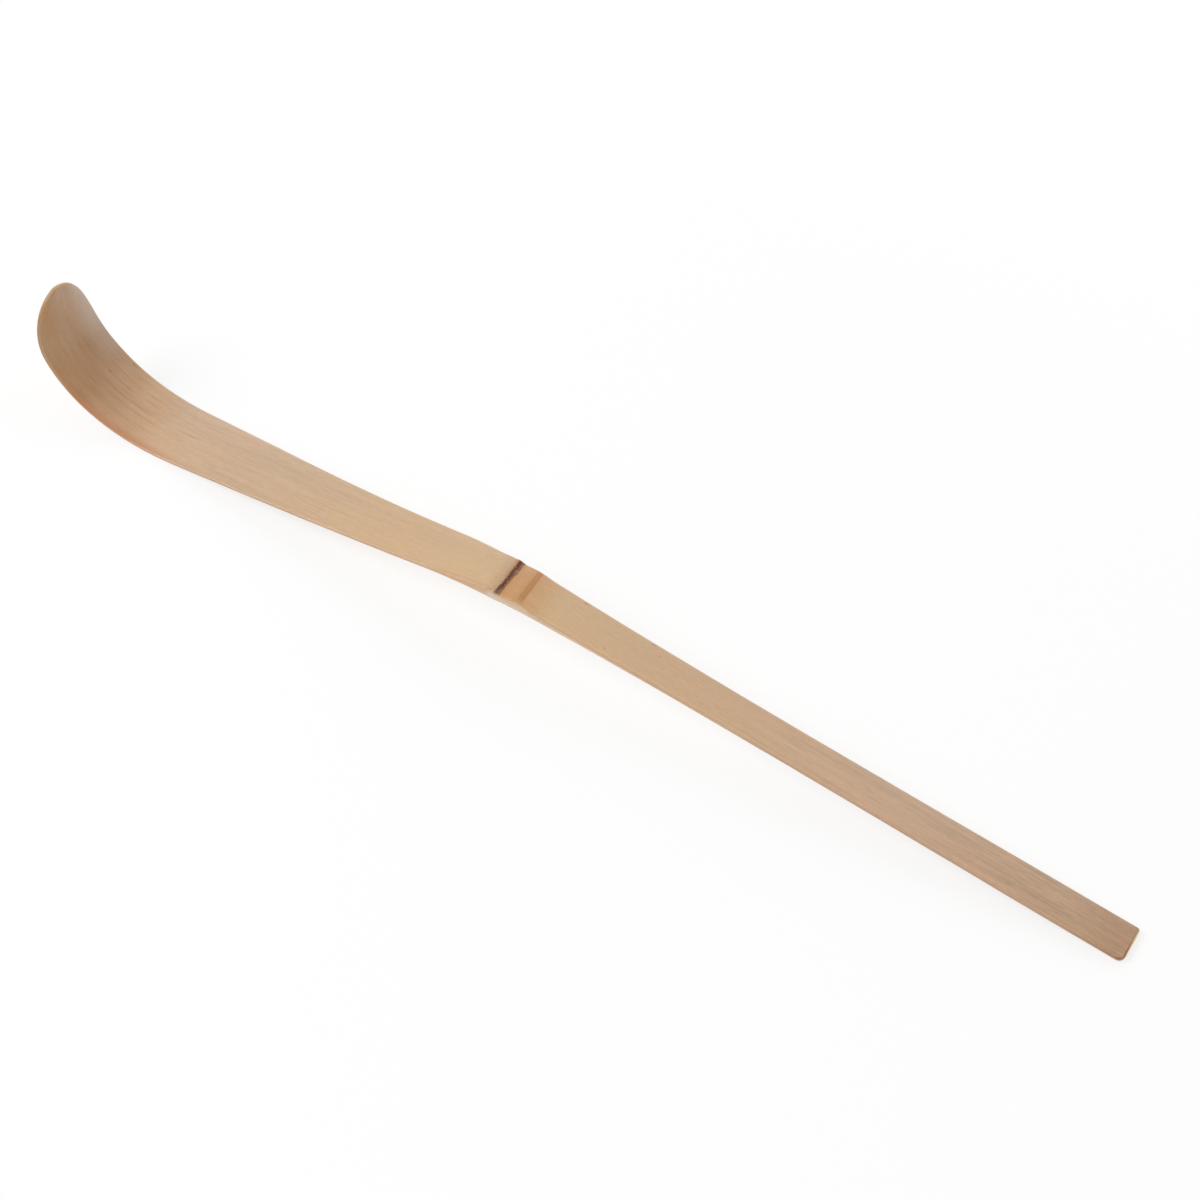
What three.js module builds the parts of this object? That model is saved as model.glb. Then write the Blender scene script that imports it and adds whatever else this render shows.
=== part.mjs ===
// A bamboo tea scoop, carved from one strip of culm wall and bent by steam.
// Millimetres and degrees. +X runs from the scoop to the cut end of the handle, +Y across the strip
// and +Z up, with the skin of the bamboo on top. The scoop lies on the plane z = 0, on the underside
// of its bend and on the lower edge of its cut end, and the origin is under the middle of its length.
import * as THREE from 'three';
import { mergeVertices } from 'three/addons/utils/BufferGeometryUtils.js';

// Lengths along the strip, measured on the skin. A reach is counted from the cut end of the handle,
// or from the tip where its comment says so.
const stripLength = 195.9;
const waistReach = 48; // the slimmest place of the handle
const ridgeReach = 96.5; // the crest of the node's ridge
const bandLength = 3.9; // from the ridge's crest to the sheath scar
const shoulderLength = 10.5; // where the blade opens out from the scar
const scoopReach = 18.6; // from the tip back to the widest place of the scoop
const tipLength = 11; // the half ellipse that ends the scoop

// Widths of the strip.
const cutEndWidth = 5.55;
const waistWidth = 5.3;
const ridgeWidth = 6.3;
const scarWidth = 6.5;
const shoulderWidth = 7.45;
const scoopWidth = 11.5;
const nearCornerRadius = 1.3; // the cut end's corner on the -Y side
const farCornerRadius = 0.5;

// The wall, as thick as it is at the strip's edges. The crown of the skin comes on top of that.
const cutEndEdge = 1.1;
const neckEdge = 1.42; // on the handle next to the node, without the node's swelling
const nodeSwelling = 1.32; // left on the underside at the node
const swellingHandleRun = 33.8; // how far the swelling runs out under the handle
const swellingBladeRun = 10;
const bladeRootEdge = 0.92;
const tipEdge = 0.4;
const culmRadius = 40; // the round of the culm that the strip was split from
const arris = 0.15; // the edge between the skin and the sides
const bevelShare = 0.3; // the underside's bevels, as a share of the wall at the edge

// Turns of the strip in side view, in degrees, and the runs over which they happen.
const neckTurn = 1.15; // the handle lifts a little towards the node
const neckRun = 30;
const neckSetback = 10.4; // from the end of the neck's turn to the scar
const nodeTurn = 18.3; // the strip arches over the node
const nodeRun = 16;
const nodeOffset = 0.6; // the arch's middle lies this far past the scar, on the blade
const bladeTurn = 5.25; // the blade eases out of its fall
const bladeRun = 48.2;
const bendTurn = 107; // the steamed bend of the scoop
const bendRun = 41;
const bendReach = 38.6; // from the tip back to where the bend starts

// Small relief of the node on the skin.
const ridgeRise = 0.3;
const ridgeHalfLength = 3;
const lipRise = 0.26; // the blade stands this much above the band at the scar
const lipLength = 3.4;

// The rim of dried sheath that clings to the scar, in a flat seat across the strip.
const scarLength = 0.95;
const seatDepth = 0.36;
const scarClearance = 0.05; // from the rim's two long faces to the walls of its seat
const scarProud = 0.1; // how far the rim stands above the skin
const scarBlunt = 0.12; // the rim's lower height at its handle side

// How finely the curves are divided.
const pathSteps = 1600;
const cornerSteps = 4;
const handleSteps = 12;
const neckSteps = 8;
const ridgeSteps = 6;
const shoulderSteps = 5;
const bladeSteps = 16;
const bendSteps = 24;
const tipSteps = 9;
const skinSteps = 6; // facets across the skin

const ridgeAt = ridgeReach;
const scarAt = ridgeReach + bandLength;
const seatAt = scarAt - scarLength;
const shoulderAt = scarAt + shoulderLength;
const scoopAt = stripLength - scoopReach;
const bendAt = stripLength - bendReach;
const capAt = stripLength - tipLength;

// Eases that run from 0 to 1: one flat at both ends, and one half way between that and a straight run.
const clampShare = (t) => Math.min(1, Math.max(0, t));
const smooth = (t) => clampShare(t) ** 2 * (3 - 2 * clampShare(t));
const gentle = (t) => (clampShare(t) + smooth(t)) / 2;
const mix = (a, b, share) => a + (b - a) * share;

// The rise of the skin line, in radians, at a distance from the cut end. The handle's own line is 0.
function rise(reach) {
  const neckAt = scarAt - neckSetback - neckRun;
  const archAt = scarAt + nodeOffset - nodeRun / 2;
  const degrees = neckTurn * smooth((reach - neckAt) / neckRun)
    - nodeTurn * smooth((reach - archAt) / nodeRun)
    + bladeTurn * smooth((reach - scarAt) / bladeRun)
    + bendTurn * smooth((reach - bendAt) / bendRun);
  return THREE.MathUtils.degToRad(degrees);
}

// The skin line in side view: points at even steps along the strip, found by adding up short runs.
function skinLine() {
  const step = stripLength / pathSteps;
  const points = [new THREE.Vector2(0, 0)];
  for (let i = 0; i < pathSteps; i += 1) {
    const angle = rise((i + 0.5) * step);
    const last = points[i];
    points.push(new THREE.Vector2(last.x - step * Math.cos(angle), last.y + step * Math.sin(angle)));
  }
  return points;
}

const line = skinLine();

// The way out of the skin in side view, square to the skin line.
const outward = (reach) => new THREE.Vector2(Math.sin(rise(reach)), Math.cos(rise(reach)));

// A point of the strip in side view, at a distance along the skin line and a height above it.
function sidePoint(reach, height) {
  const stepsIn = clampShare(reach / stripLength) * pathSteps;
  const low = Math.min(Math.floor(stepsIn), pathSteps - 1);
  const on = line[low].clone().lerp(line[low + 1], stepsIn - low);
  return on.addScaledVector(outward(reach), height);
}

// Half the width of the strip, before its corners and its tip are rounded.
function halfWidth(reach) {
  if (reach < waistReach) {
    return mix(cutEndWidth, waistWidth, smooth(reach / waistReach)) / 2;
  }
  if (reach < ridgeAt) {
    return mix(waistWidth, ridgeWidth, ((reach - waistReach) / (ridgeAt - waistReach)) ** 2) / 2;
  }
  if (reach < scarAt) {
    return mix(ridgeWidth, scarWidth, (reach - ridgeAt) / bandLength) / 2;
  }
  const opening = (shoulderWidth - scarWidth) * smooth((reach - scarAt) / shoulderLength);
  const widening = (scoopWidth - shoulderWidth) * gentle((reach - shoulderAt) / (scoopAt - shoulderAt));
  return (scarWidth + opening + widening) / 2;
}

// The wall's thickness at its edges.
function edgeThickness(reach) {
  if (reach < scarAt) {
    const swelling = nodeSwelling * clampShare(1 - (scarAt - reach) / swellingHandleRun) ** 2;
    return mix(cutEndEdge, neckEdge, reach / scarAt) + swelling;
  }
  const blade = mix(bladeRootEdge, tipEdge, (reach - scarAt) / (stripLength - scarAt));
  const node = neckEdge + nodeSwelling - bladeRootEdge;
  return blade + node * (1 - smooth((reach - scarAt) / swellingBladeRun));
}

// How far the skin falls from the middle of the strip to a place across it.
const crown = (across) => across ** 2 / (2 * culmRadius);

// The relief of the node: the rounded ridge on the handle's side and the lip on the blade's side.
function relief(reach) {
  const fromCrest = Math.min(1, Math.abs(reach - ridgeAt) / ridgeHalfLength);
  const ridge = ridgeRise * (1 + Math.cos(Math.PI * fromCrest)) / 2;
  return reach < scarAt ? ridge : ridge + lipRise * (1 - smooth((reach - scarAt) / lipLength));
}

// Depth of the underside below the skin line.
const depth = (reach) => edgeThickness(reach) + crown(halfWidth(reach));

// A place on the outline seen from above: its distance from the cut end, its distance from the
// middle, and the way that the outline faces there, as parts along and across the strip.
const place = (reach, across, facingAlong, facingAcross) => ({ reach, across, facingAlong, facingAcross });

function cornerPlace(share, radius) {
  const turn = share * Math.PI / 2;
  const across = halfWidth(radius) - radius * (1 - Math.sin(turn));
  return place(radius * (1 - Math.cos(turn)), across, -Math.cos(turn), Math.sin(turn));
}

const sidePlace = (reach) => place(reach, halfWidth(reach), 0, 1);

function tipPlace(share) {
  const turn = share * Math.PI / 2;
  const reach = capAt + tipLength * Math.sin(turn);
  const half = halfWidth(reach);
  const facing = new THREE.Vector2(Math.sin(turn) * half, Math.cos(turn) * tipLength).normalize();
  return place(reach, half * Math.cos(turn), facing.x, facing.y);
}

// A ring of points round the strip. It goes over the skin from -Y to +Y, down the far side, back
// under the strip and up the near side. Each side has a point half way down, or at the height of
// the scar's seat where the ring bounds that.
function ring(near, far, topHeight, seatHeight) {
  const inset = (side, by) => ({
    reach: side.reach - by * side.facingAlong,
    across: side.across - by * side.facingAcross,
  });
  const points = [];
  const add = (reach, across, height) => {
    const on = sidePoint(reach, height);
    points.push(new THREE.Vector3(on.x, across, on.y));
  };
  const skinNear = inset(near, arris);
  const skinFar = inset(far, arris);
  for (let i = 0; i <= skinSteps; i += 1) {
    const share = i / skinSteps;
    const reach = mix(skinNear.reach, skinFar.reach, share);
    const across = mix(-skinNear.across, skinFar.across, share);
    add(reach, across, topHeight(reach, across));
  }
  const bevel = (side) => bevelShare * edgeThickness(side.reach);
  const sideHeights = (side) => {
    const [top, foot] = [topHeight(side.reach, side.across) - arris, bevel(side) - depth(side.reach)];
    return [top, seatHeight ?? (top + foot) / 2, foot];
  };
  sideHeights(far).forEach((height) => add(far.reach, far.across, height));
  const underFar = inset(far, bevel(far));
  add(underFar.reach, underFar.across, -depth(underFar.reach));
  const underNear = inset(near, bevel(near));
  add(underNear.reach, -underNear.across, -depth(underNear.reach));
  sideHeights(near).reverse().forEach((height) => add(near.reach, -near.across, height));
  return points;
}

// A ring at the edge of the scar's seat, at the height of the skin.
function seatEdgeRing(reach, topHeight) {
  return ring(sidePlace(reach), sidePlace(reach), topHeight, -seatDepth);
}

// A ring in the scar's seat, where the top is one flat line from side to side.
function seatRing(reach) {
  const points = seatEdgeRing(reach, skinHeight);
  const half = halfWidth(reach);
  const floor = sidePoint(reach, -seatDepth);
  for (let i = 0; i <= skinSteps; i += 1) {
    points[i].set(floor.x, mix(-half, half, i / skinSteps), floor.y);
  }
  points[skinSteps + 1].copy(points[skinSteps]);
  points[points.length - 1].copy(points[0]);
  return points;
}

const skinHeight = (reach, across) => relief(reach) - crown(across);

// Even steps from one place to another, without the last.
function steps(from, to, count) {
  return Array.from({ length: count }, (unused, i) => mix(from, to, i / count));
}

function stripRings() {
  const rings = [];
  for (let i = 0; i <= cornerSteps; i += 1) {
    const share = i / cornerSteps;
    rings.push(ring(cornerPlace(share, nearCornerRadius), cornerPlace(share, farCornerRadius), skinHeight));
  }
  const cornersEnd = nearCornerRadius + farCornerRadius;
  const ridgeStart = ridgeAt - ridgeHalfLength;
  const neckStart = scarAt - swellingHandleRun;
  const handle = [
    ...steps(cornersEnd, neckStart, handleSteps),
    ...steps(neckStart, ridgeStart, neckSteps),
    ...steps(ridgeStart, seatAt, ridgeSteps),
  ];
  handle.forEach((reach) => rings.push(ring(sidePlace(reach), sidePlace(reach), skinHeight)));
  rings.push(seatEdgeRing(seatAt, skinHeight), seatRing(seatAt));
  rings.push(seatRing(scarAt), seatEdgeRing(scarAt, skinHeight));
  const blade = [
    ...steps(scarAt, shoulderAt, shoulderSteps).slice(1),
    ...steps(shoulderAt, bendAt, bladeSteps),
    ...steps(bendAt, capAt, bendSteps),
  ];
  blade.forEach((reach) => rings.push(ring(sidePlace(reach), sidePlace(reach), skinHeight)));
  for (let i = 0; i <= tipSteps; i += 1) {
    const side = tipPlace(i / tipSteps);
    rings.push(ring(side, side, skinHeight));
  }
  return rings;
}

// The triangles that join a row of rings into a tube.
function tubeFaces(ringCount, ringSize) {
  const faces = [];
  for (let k = 0; k + 1 < ringCount; k += 1) {
    for (let i = 0; i < ringSize; i += 1) {
      const j = (i + 1) % ringSize;
      const [a, b] = [k * ringSize + i, k * ringSize + j];
      faces.push([a, b, b + ringSize], [a, b + ringSize, a + ringSize]);
    }
  }
  return faces;
}

// The cut end: the skin's edge, the sawn face and the underside's bevel, each from side to side.
function cutEndFaces(ringSize) {
  const [farTop, farMiddle, farFoot, underFar] = [1, 2, 3, 4].map((i) => skinSteps + i);
  const [nearTop, nearMiddle, nearFoot, underNear] = [1, 2, 3, 4].map((i) => ringSize - i);
  const faces = [];
  for (let i = 0; i < skinSteps; i += 1) {
    faces.push([nearTop, i + 1, i]);
  }
  faces.push([nearTop, farTop, skinSteps]);
  faces.push([nearTop, farMiddle, farTop], [nearTop, nearMiddle, farMiddle]);
  faces.push([nearMiddle, farFoot, farMiddle], [nearMiddle, nearFoot, farFoot]);
  faces.push([nearFoot, underFar, farFoot], [nearFoot, underNear, underFar]);
  return faces;
}

// One closed body from points and triangles. Points that coincide become one, and the triangles
// that this flattens to nothing are left out.
function closedBody(points, faces) {
  const loose = new THREE.BufferGeometry().setFromPoints(points);
  loose.setIndex(faces.flat());
  const body = mergeVertices(loose);
  const kept = [];
  for (let i = 0; i < body.index.count; i += 3) {
    const face = [0, 1, 2].map((corner) => body.index.getX(i + corner));
    if (new Set(face).size === face.length) {
      kept.push(...face);
    }
  }
  body.setIndex(kept);
  body.computeVertexNormals();
  return body;
}

function bambooStrip(placed) {
  const rings = stripRings();
  const ringSize = rings[0].length;
  const faces = [...tubeFaces(rings.length, ringSize), ...cutEndFaces(ringSize)];
  return closedBody(rings.flat().map(placed), faces);
}

// The rim of dried sheath: a low bar with a flat foot on its seat and a top that follows the skin.
function sheathScar(placed) {
  const foot = [sidePoint(seatAt, -seatDepth), sidePoint(scarAt, -seatDepth)];
  const topOf = [skinHeight(seatAt, 0) - scarBlunt, skinHeight(scarAt, 0)];
  const half = halfWidth(seatAt) - scarClearance;
  const points = [scarClearance / scarLength, 1 - scarClearance / scarLength].flatMap((share) => {
    const on = foot[0].clone().lerp(foot[1], share);
    const height = mix(topOf[0], topOf[1], share) + scarProud + seatDepth;
    const section = [new THREE.Vector3(on.x, half, on.y), new THREE.Vector3(on.x, -half, on.y)];
    for (let i = 0; i <= skinSteps; i += 1) {
      const across = mix(-half, half, i / skinSteps);
      const top = on.clone().addScaledVector(outward(scarAt), height - crown(across));
      section.push(new THREE.Vector3(top.x, across, top.y));
    }
    return section;
  });
  const size = points.length / 2;
  const faces = tubeFaces(2, size);
  for (let i = 1; i + 1 < size; i += 1) {
    faces.push([0, i + 1, i], [size, size + i, size + i + 1]);
  }
  return closedBody(points.map(placed), faces);
}

// Lays the strip down: turned in side view until the lower edge of its cut end and the underside of
// its bend are level, then moved so that the origin is under the middle of its length.
function laidDown() {
  const [cutEnd, ...others] = stripRings().map((points) => points.map((p) => new THREE.Vector2(p.x, p.z)));
  const heel = cutEnd.reduce((low, point) => (point.y < low.y ? point : low));
  const rests = others.flat().filter((point) => point.x < -scarAt);
  const tilt = Math.min(...rests.map((point) => Math.atan2(point.y - heel.y, heel.x - point.x)));
  const turned = (point) => point.clone().rotateAround(heel, tilt);
  const all = [...cutEnd, ...others.flat()].map(turned);
  const middle = (Math.min(...all.map((p) => p.x)) + Math.max(...all.map((p) => p.x))) / 2;
  const floor = Math.min(...all.map((p) => p.y));
  return (point) => {
    const side = turned(new THREE.Vector2(point.x, point.z));
    return new THREE.Vector3(side.x - middle, point.y, side.y - floor);
  };
}

const placed = laidDown();

const bamboo = new THREE.MeshStandardMaterial({ color: 0xcbae8a, roughness: 0.5, metalness: 0 });
const driedSheath = new THREE.MeshStandardMaterial({ color: 0x5f473a, roughness: 0.85, metalness: 0 });

const strip = new THREE.Mesh(bambooStrip(placed), bamboo);
strip.name = 'bamboo_strip';

const scar = new THREE.Mesh(sheathScar(placed), driedSheath);
scar.name = 'sheath_scar';

const teaScoop = new THREE.Group();
teaScoop.add(strip, scar);

export default teaScoop;
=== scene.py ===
"""A bamboo tea scoop: one strip of culm, carved thin and bent by steam, with dried sheath at its node.

The strip is made flat first, as a carver marks it out: by the reach from the cut end, the place
across the strip and the height above the skin line, all in millimetres. A tree of geometry nodes
carves that blank and lays it along its bent line, and it is then laid down in the frame of the
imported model, in metres: +X towards the cut end, +Y across, +Z up.
"""

import logging
import math
from dataclasses import dataclass, field
from enum import Enum
from typing import Optional, Sequence, Union

import bmesh
import bpy
import numpy as np
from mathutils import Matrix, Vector


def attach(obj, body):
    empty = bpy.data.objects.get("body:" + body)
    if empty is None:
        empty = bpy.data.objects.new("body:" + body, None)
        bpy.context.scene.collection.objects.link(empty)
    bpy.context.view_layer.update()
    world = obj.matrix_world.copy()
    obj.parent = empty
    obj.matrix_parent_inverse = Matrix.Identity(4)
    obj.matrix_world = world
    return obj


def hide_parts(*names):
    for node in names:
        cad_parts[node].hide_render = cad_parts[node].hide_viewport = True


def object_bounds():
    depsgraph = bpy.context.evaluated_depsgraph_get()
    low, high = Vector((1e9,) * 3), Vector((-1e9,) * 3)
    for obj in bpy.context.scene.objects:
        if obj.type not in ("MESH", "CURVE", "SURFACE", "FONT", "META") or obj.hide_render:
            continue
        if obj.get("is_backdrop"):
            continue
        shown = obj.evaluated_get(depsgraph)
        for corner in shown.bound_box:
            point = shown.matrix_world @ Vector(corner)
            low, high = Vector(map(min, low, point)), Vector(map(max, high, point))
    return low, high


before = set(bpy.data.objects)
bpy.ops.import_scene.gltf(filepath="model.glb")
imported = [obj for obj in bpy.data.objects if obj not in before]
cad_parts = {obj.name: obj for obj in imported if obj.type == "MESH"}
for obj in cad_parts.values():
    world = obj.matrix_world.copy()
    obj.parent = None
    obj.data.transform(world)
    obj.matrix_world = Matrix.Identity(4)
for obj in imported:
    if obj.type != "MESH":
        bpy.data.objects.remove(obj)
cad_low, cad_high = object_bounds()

MILLIMETRE = 0.001
BODY = "root"
WHITE = (1.0, 1.0, 1.0, 1.0)
MERGE_STEPS_PER_MILLIMETRE = 1e4
Colour = tuple[float, float, float]
log = logging.getLogger("tea scoop")


def smooth(share: np.ndarray) -> np.ndarray:
    """An ease from 0 to 1 that is flat at both ends."""
    held = np.clip(share, 0.0, 1.0)
    return held * held * (3.0 - 2.0 * held)


def gentle(share: np.ndarray) -> np.ndarray:
    """An ease half way between a straight run and the smooth one."""
    return (np.clip(share, 0.0, 1.0) + smooth(share)) / 2.0


def mix(low: np.ndarray, high: np.ndarray, share: np.ndarray) -> np.ndarray:
    """The value at a share of the way from low to high."""
    return low + (high - low) * share


def paint(red: float, green: float, blue: float) -> tuple[float, float, float, float]:
    """A colour written as 0 to 255 on a screen, as the linear colour that a shader takes."""
    shares = [channel / 255.0 for channel in (red, green, blue)]
    return (*[s / 12.92 if s <= 0.04045 else ((s + 0.055) / 1.055) ** 2.4 for s in shares], 1.0)


class Signal:
    """A value that leaves a node. Arithmetic on it adds Math nodes to the same tree."""

    def __init__(self, wiring: "Wiring", socket: bpy.types.NodeSocket) -> None:
        """Keeps the tree's wiring and the socket that the value leaves."""
        self.wiring = wiring
        self.socket = socket

    def __add__(self, other: "Feed") -> "Signal":
        """The sum."""
        return self.wiring.math("ADD", self, other)

    def __radd__(self, other: "Feed") -> "Signal":
        """The sum, with a plain number first."""
        return self.wiring.math("ADD", other, self)

    def __sub__(self, other: "Feed") -> "Signal":
        """The difference."""
        return self.wiring.math("SUBTRACT", self, other)

    def __rsub__(self, other: "Feed") -> "Signal":
        """The difference, with a plain number first."""
        return self.wiring.math("SUBTRACT", other, self)

    def __mul__(self, other: "Feed") -> "Signal":
        """The product."""
        return self.wiring.math("MULTIPLY", self, other)

    def __rmul__(self, other: "Feed") -> "Signal":
        """The product, with a plain number first."""
        return self.wiring.math("MULTIPLY", other, self)

    def __truediv__(self, other: "Feed") -> "Signal":
        """The quotient."""
        return self.wiring.math("DIVIDE", self, other)


Feed = Union[Signal, float, int, str, bool, tuple, None]


@dataclass(frozen=True)
class Touch:
    """How glossy a surface is, how strong its relief, and how high it stands, in metres."""

    gloss: float
    bump_strength: float
    bump_height: float


class Wiring:
    """Adds nodes to one tree, of shader or geometry nodes, and links them."""

    def __init__(self, tree: bpy.types.NodeTree) -> None:
        """Keeps the tree."""
        self.tree = tree

    def node(self, kind: str, feeds: Optional[dict] = None, **settings: object) -> bpy.types.Node:
        """Adds a node.

        Args:
            kind: the node's type name.
            feeds: what each input gets, by its name or number.
            settings: the node's own properties.

        Returns:
            The node.
        """
        made = self.tree.nodes.new(kind)
        for name, value in settings.items():
            setattr(made, name, value)
        for key, value in (feeds or {}).items():
            self.feed(made.inputs[key], value)
        return made

    def feed(self, socket: bpy.types.NodeSocket, value: Feed) -> None:
        """Links a signal to an input, or sets the input's own value."""
        if isinstance(value, Signal):
            self.tree.links.new(value.socket, socket)
        elif value is not None:
            socket.default_value = value

    def take(self, made: bpy.types.Node, output: Union[int, str] = 0) -> Signal:
        """The signal of one of a node's outputs."""
        return Signal(self, made.outputs[output])

    def math(self, operation: str, *values: Feed) -> Signal:
        """A Math node on one to three values."""
        feeds = dict(enumerate(values))
        return self.take(self.node("ShaderNodeMath", feeds, operation=operation))

    def ease(self, value: Feed, start: Feed = 0.0, end: Feed = 1.0) -> Signal:
        """A smooth step from 0 at start to 1 at end."""
        feeds = {"Value": value, 1: start, 2: end, 3: 0.0, 4: 1.0}
        return self.take(self.node("ShaderNodeMapRange", feeds, interpolation_type="SMOOTHSTEP"))

    def window(self, value: Signal, start: float, end: float, soft: float) -> Signal:
        """1 between start and end, falling to 0 over a soft border centred on each."""
        half = soft / 2.0
        return self.ease(value, start - half, start + half) * (1.0 - self.ease(value, end - half, end + half))

    def hump(self, value: Signal, centre: float, half: float) -> Signal:
        """A bell that is 1 at its centre and 0 from half away."""
        return 1.0 - self.ease(self.math("ABSOLUTE", value - centre), 0.0, half)

    def split(self, vector: Signal) -> tuple[Signal, Signal, Signal]:
        """The three parts of a vector."""
        made = self.node("ShaderNodeSeparateXYZ", {0: vector})
        return self.take(made, 0), self.take(made, 1), self.take(made, 2)

    def join(self, x: Feed, y: Feed, z: Feed) -> Signal:
        """A vector from its three parts."""
        return self.take(self.node("ShaderNodeCombineXYZ", {0: x, 1: y, 2: z}))

    def scaled(self, vector: Signal, by: Feed) -> Signal:
        """A vector times a number."""
        return self.take(self.node("ShaderNodeVectorMath", {0: vector, "Scale": by}, operation="SCALE"))

    def noise(self, place: Signal, seed: Feed, detail: float = 2.0, rough: float = 0.5) -> Signal:
        """Noise about 0, from about -1 to 1, that changes over about one unit of its place."""
        feeds = {"Vector": place, "W": seed, "Scale": 1.0, "Detail": detail, "Roughness": rough}
        raw = self.take(self.node("ShaderNodeTexNoise", feeds, noise_dimensions="4D"))
        return (raw - 0.5) * 2.0

    def cells(self, place: Signal, output: str = "Distance") -> Signal:
        """The distance to the nearest of scattered points, one to a unit cell, or another output."""
        return self.take(self.node("ShaderNodeTexVoronoi", {"Vector": place, "Scale": 1.0}), output)

    def tint(self, share: Feed, low: Feed, high: Feed) -> Signal:
        """A colour mixed from two, by a share that is held between 0 and 1.

        Args:
            share: how much of the second colour there is.
            low: the first colour: a signal, a screen colour, or a linear one with its alpha.
            high: the second colour, given likewise.

        Returns:
            The colour.
        """
        low, high = [paint(*c) if isinstance(c, tuple) and len(c) == 3 else c for c in (low, high)]
        feeds = {0: share, 6: low, 7: high}
        made = self.node("ShaderNodeMix", feeds, data_type="RGBA", clamp_factor=True)
        return self.take(made, 2)

    def ramp(self, share: Signal, tones: Sequence[tuple[float, Colour]]) -> Signal:
        """A colour ramp over shares from 0 to 1."""
        made = self.node("ShaderNodeValToRGB", {0: share})
        made.color_ramp.interpolation = "EASE"
        stops = made.color_ramp.elements
        while len(stops) < len(tones):
            stops.new(1.0)
        for stop, (at, colour) in zip(stops, tones):
            stop.position = at
            stop.color = paint(*colour)
        return self.take(made)

    def dress(self, colour: Signal, rough: Signal, relief: Signal, touch: Touch) -> None:
        """Ends a material's tree with its one shader.

        Args:
            colour: the base colour.
            rough: the roughness.
            relief: the height of the relief, as a share.
            touch: the constants of the surface.
        """
        feeds = {"Strength": touch.bump_strength, "Distance": touch.bump_height, "Height": relief}
        bump = self.take(self.node("ShaderNodeBump", feeds))
        feeds = {"Base Color": colour, "Roughness": rough, "Normal": bump}
        shader = self.node("ShaderNodeBsdfPrincipled", feeds)
        shader.inputs["Specular IOR Level"].default_value = touch.gloss
        self.end_with(shader)

    def end_with(self, shader: bpy.types.Node, kind: str = "ShaderNodeOutputMaterial") -> None:
        """Ends the tree with an output for a shader."""
        self.node(kind, {"Surface": self.take(shader)})


def new_material(name: str) -> tuple[bpy.types.Material, Wiring]:
    """A new material, and the wiring of its empty tree."""
    made = bpy.data.materials.new(name)
    made.use_nodes = True
    made.node_tree.nodes.clear()
    return made, Wiring(made.node_tree)


def new_object(name: str, data: bpy.types.ID) -> bpy.types.Object:
    """A new object in the scene."""
    made = bpy.data.objects.new(name, data)
    bpy.context.scene.collection.objects.link(made)
    return made


class Recipe(Wiring):
    """A tree of geometry nodes with named inputs."""

    def __init__(self, name: str) -> None:
        """Starts the tree, with the geometry as its first input and its output."""
        super().__init__(bpy.data.node_groups.new(name, "GeometryNodeTree"))
        self.tree.interface.new_socket("Geometry", in_out="INPUT", socket_type="NodeSocketGeometry")
        self.tree.interface.new_socket("Geometry", in_out="OUTPUT", socket_type="NodeSocketGeometry")
        self.entry = self.tree.nodes.new("NodeGroupInput")
        self.exit = self.tree.nodes.new("NodeGroupOutput")

    def size(self, name: str, kind: str = "NodeSocketFloat") -> Signal:
        """Adds a named input and returns its signal."""
        self.tree.interface.new_socket(name, in_out="INPUT", socket_type=kind)
        return self.take(self.entry, name)

    def named(self, attribute: str, kind: str = "FLOAT") -> Signal:
        """A named attribute of the geometry."""
        return self.take(self.node("GeometryNodeInputNamedAttribute", {"Name": attribute}, data_type=kind))

    def field_of(self, kind: str) -> Signal:
        """The first output of an input node, such as the position."""
        return self.take(self.node(kind))

    def moved(self, geometry: Signal, **feeds: Feed) -> Signal:
        """The geometry with its points at a new Position, or moved by an Offset."""
        return self.take(self.node("GeometryNodeSetPosition", {"Geometry": geometry, **feeds}))

    def nested(self, other: "Recipe", geometry: Signal) -> Signal:
        """Sends the geometry through another tree, whose named inputs become this one's too."""
        group = self.node("GeometryNodeGroup", {"Geometry": geometry}, node_tree=other.tree)
        for item in other.tree.interface.items_tree:
            if item.in_out == "INPUT" and item.name not in ("Geometry", "Material"):
                self.feed(group.inputs[item.name], self.size(item.name))
        return self.take(group)

    def finish_with(self, geometry: Signal) -> None:
        """Realises the instances, sets the material and ends the tree."""
        material = self.size("Material", "NodeSocketMaterial")
        real = self.take(self.node("GeometryNodeRealizeInstances", {"Geometry": geometry}))
        dressed = self.take(self.node("GeometryNodeSetMaterial", {"Geometry": real, "Material": material}))
        self.feed(self.exit.inputs[0], dressed)

    def bake(self, piece: bpy.types.Object, sizes: dict) -> None:
        """Runs the tree on a piece and keeps the result as the piece's plain mesh.

        Args:
            piece: the object whose mesh goes in, and which gets the new mesh.
            sizes: the value of each named input.
        """
        modifier = piece.modifiers.new(self.tree.name, "NODES")
        modifier.node_group = self.tree
        for item in self.tree.interface.items_tree:
            if item.item_type == "SOCKET" and item.in_out == "INPUT" and item.name in sizes:
                modifier[item.identifier] = sizes[item.name]
        bpy.context.view_layer.update()
        depsgraph = bpy.context.evaluated_depsgraph_get()
        result = bpy.data.meshes.new_from_object(
            piece.evaluated_get(depsgraph), preserve_all_data_layers=True, depsgraph=depsgraph
        )
        piece.modifiers.remove(modifier)
        piece.data = result
        piece.data.name = piece.name


@dataclass(frozen=True)
class Turn:
    """One turn of the strip in side view, in degrees, eased over a run that starts at a reach."""

    name: str
    degrees: float
    start: float
    run: float


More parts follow.
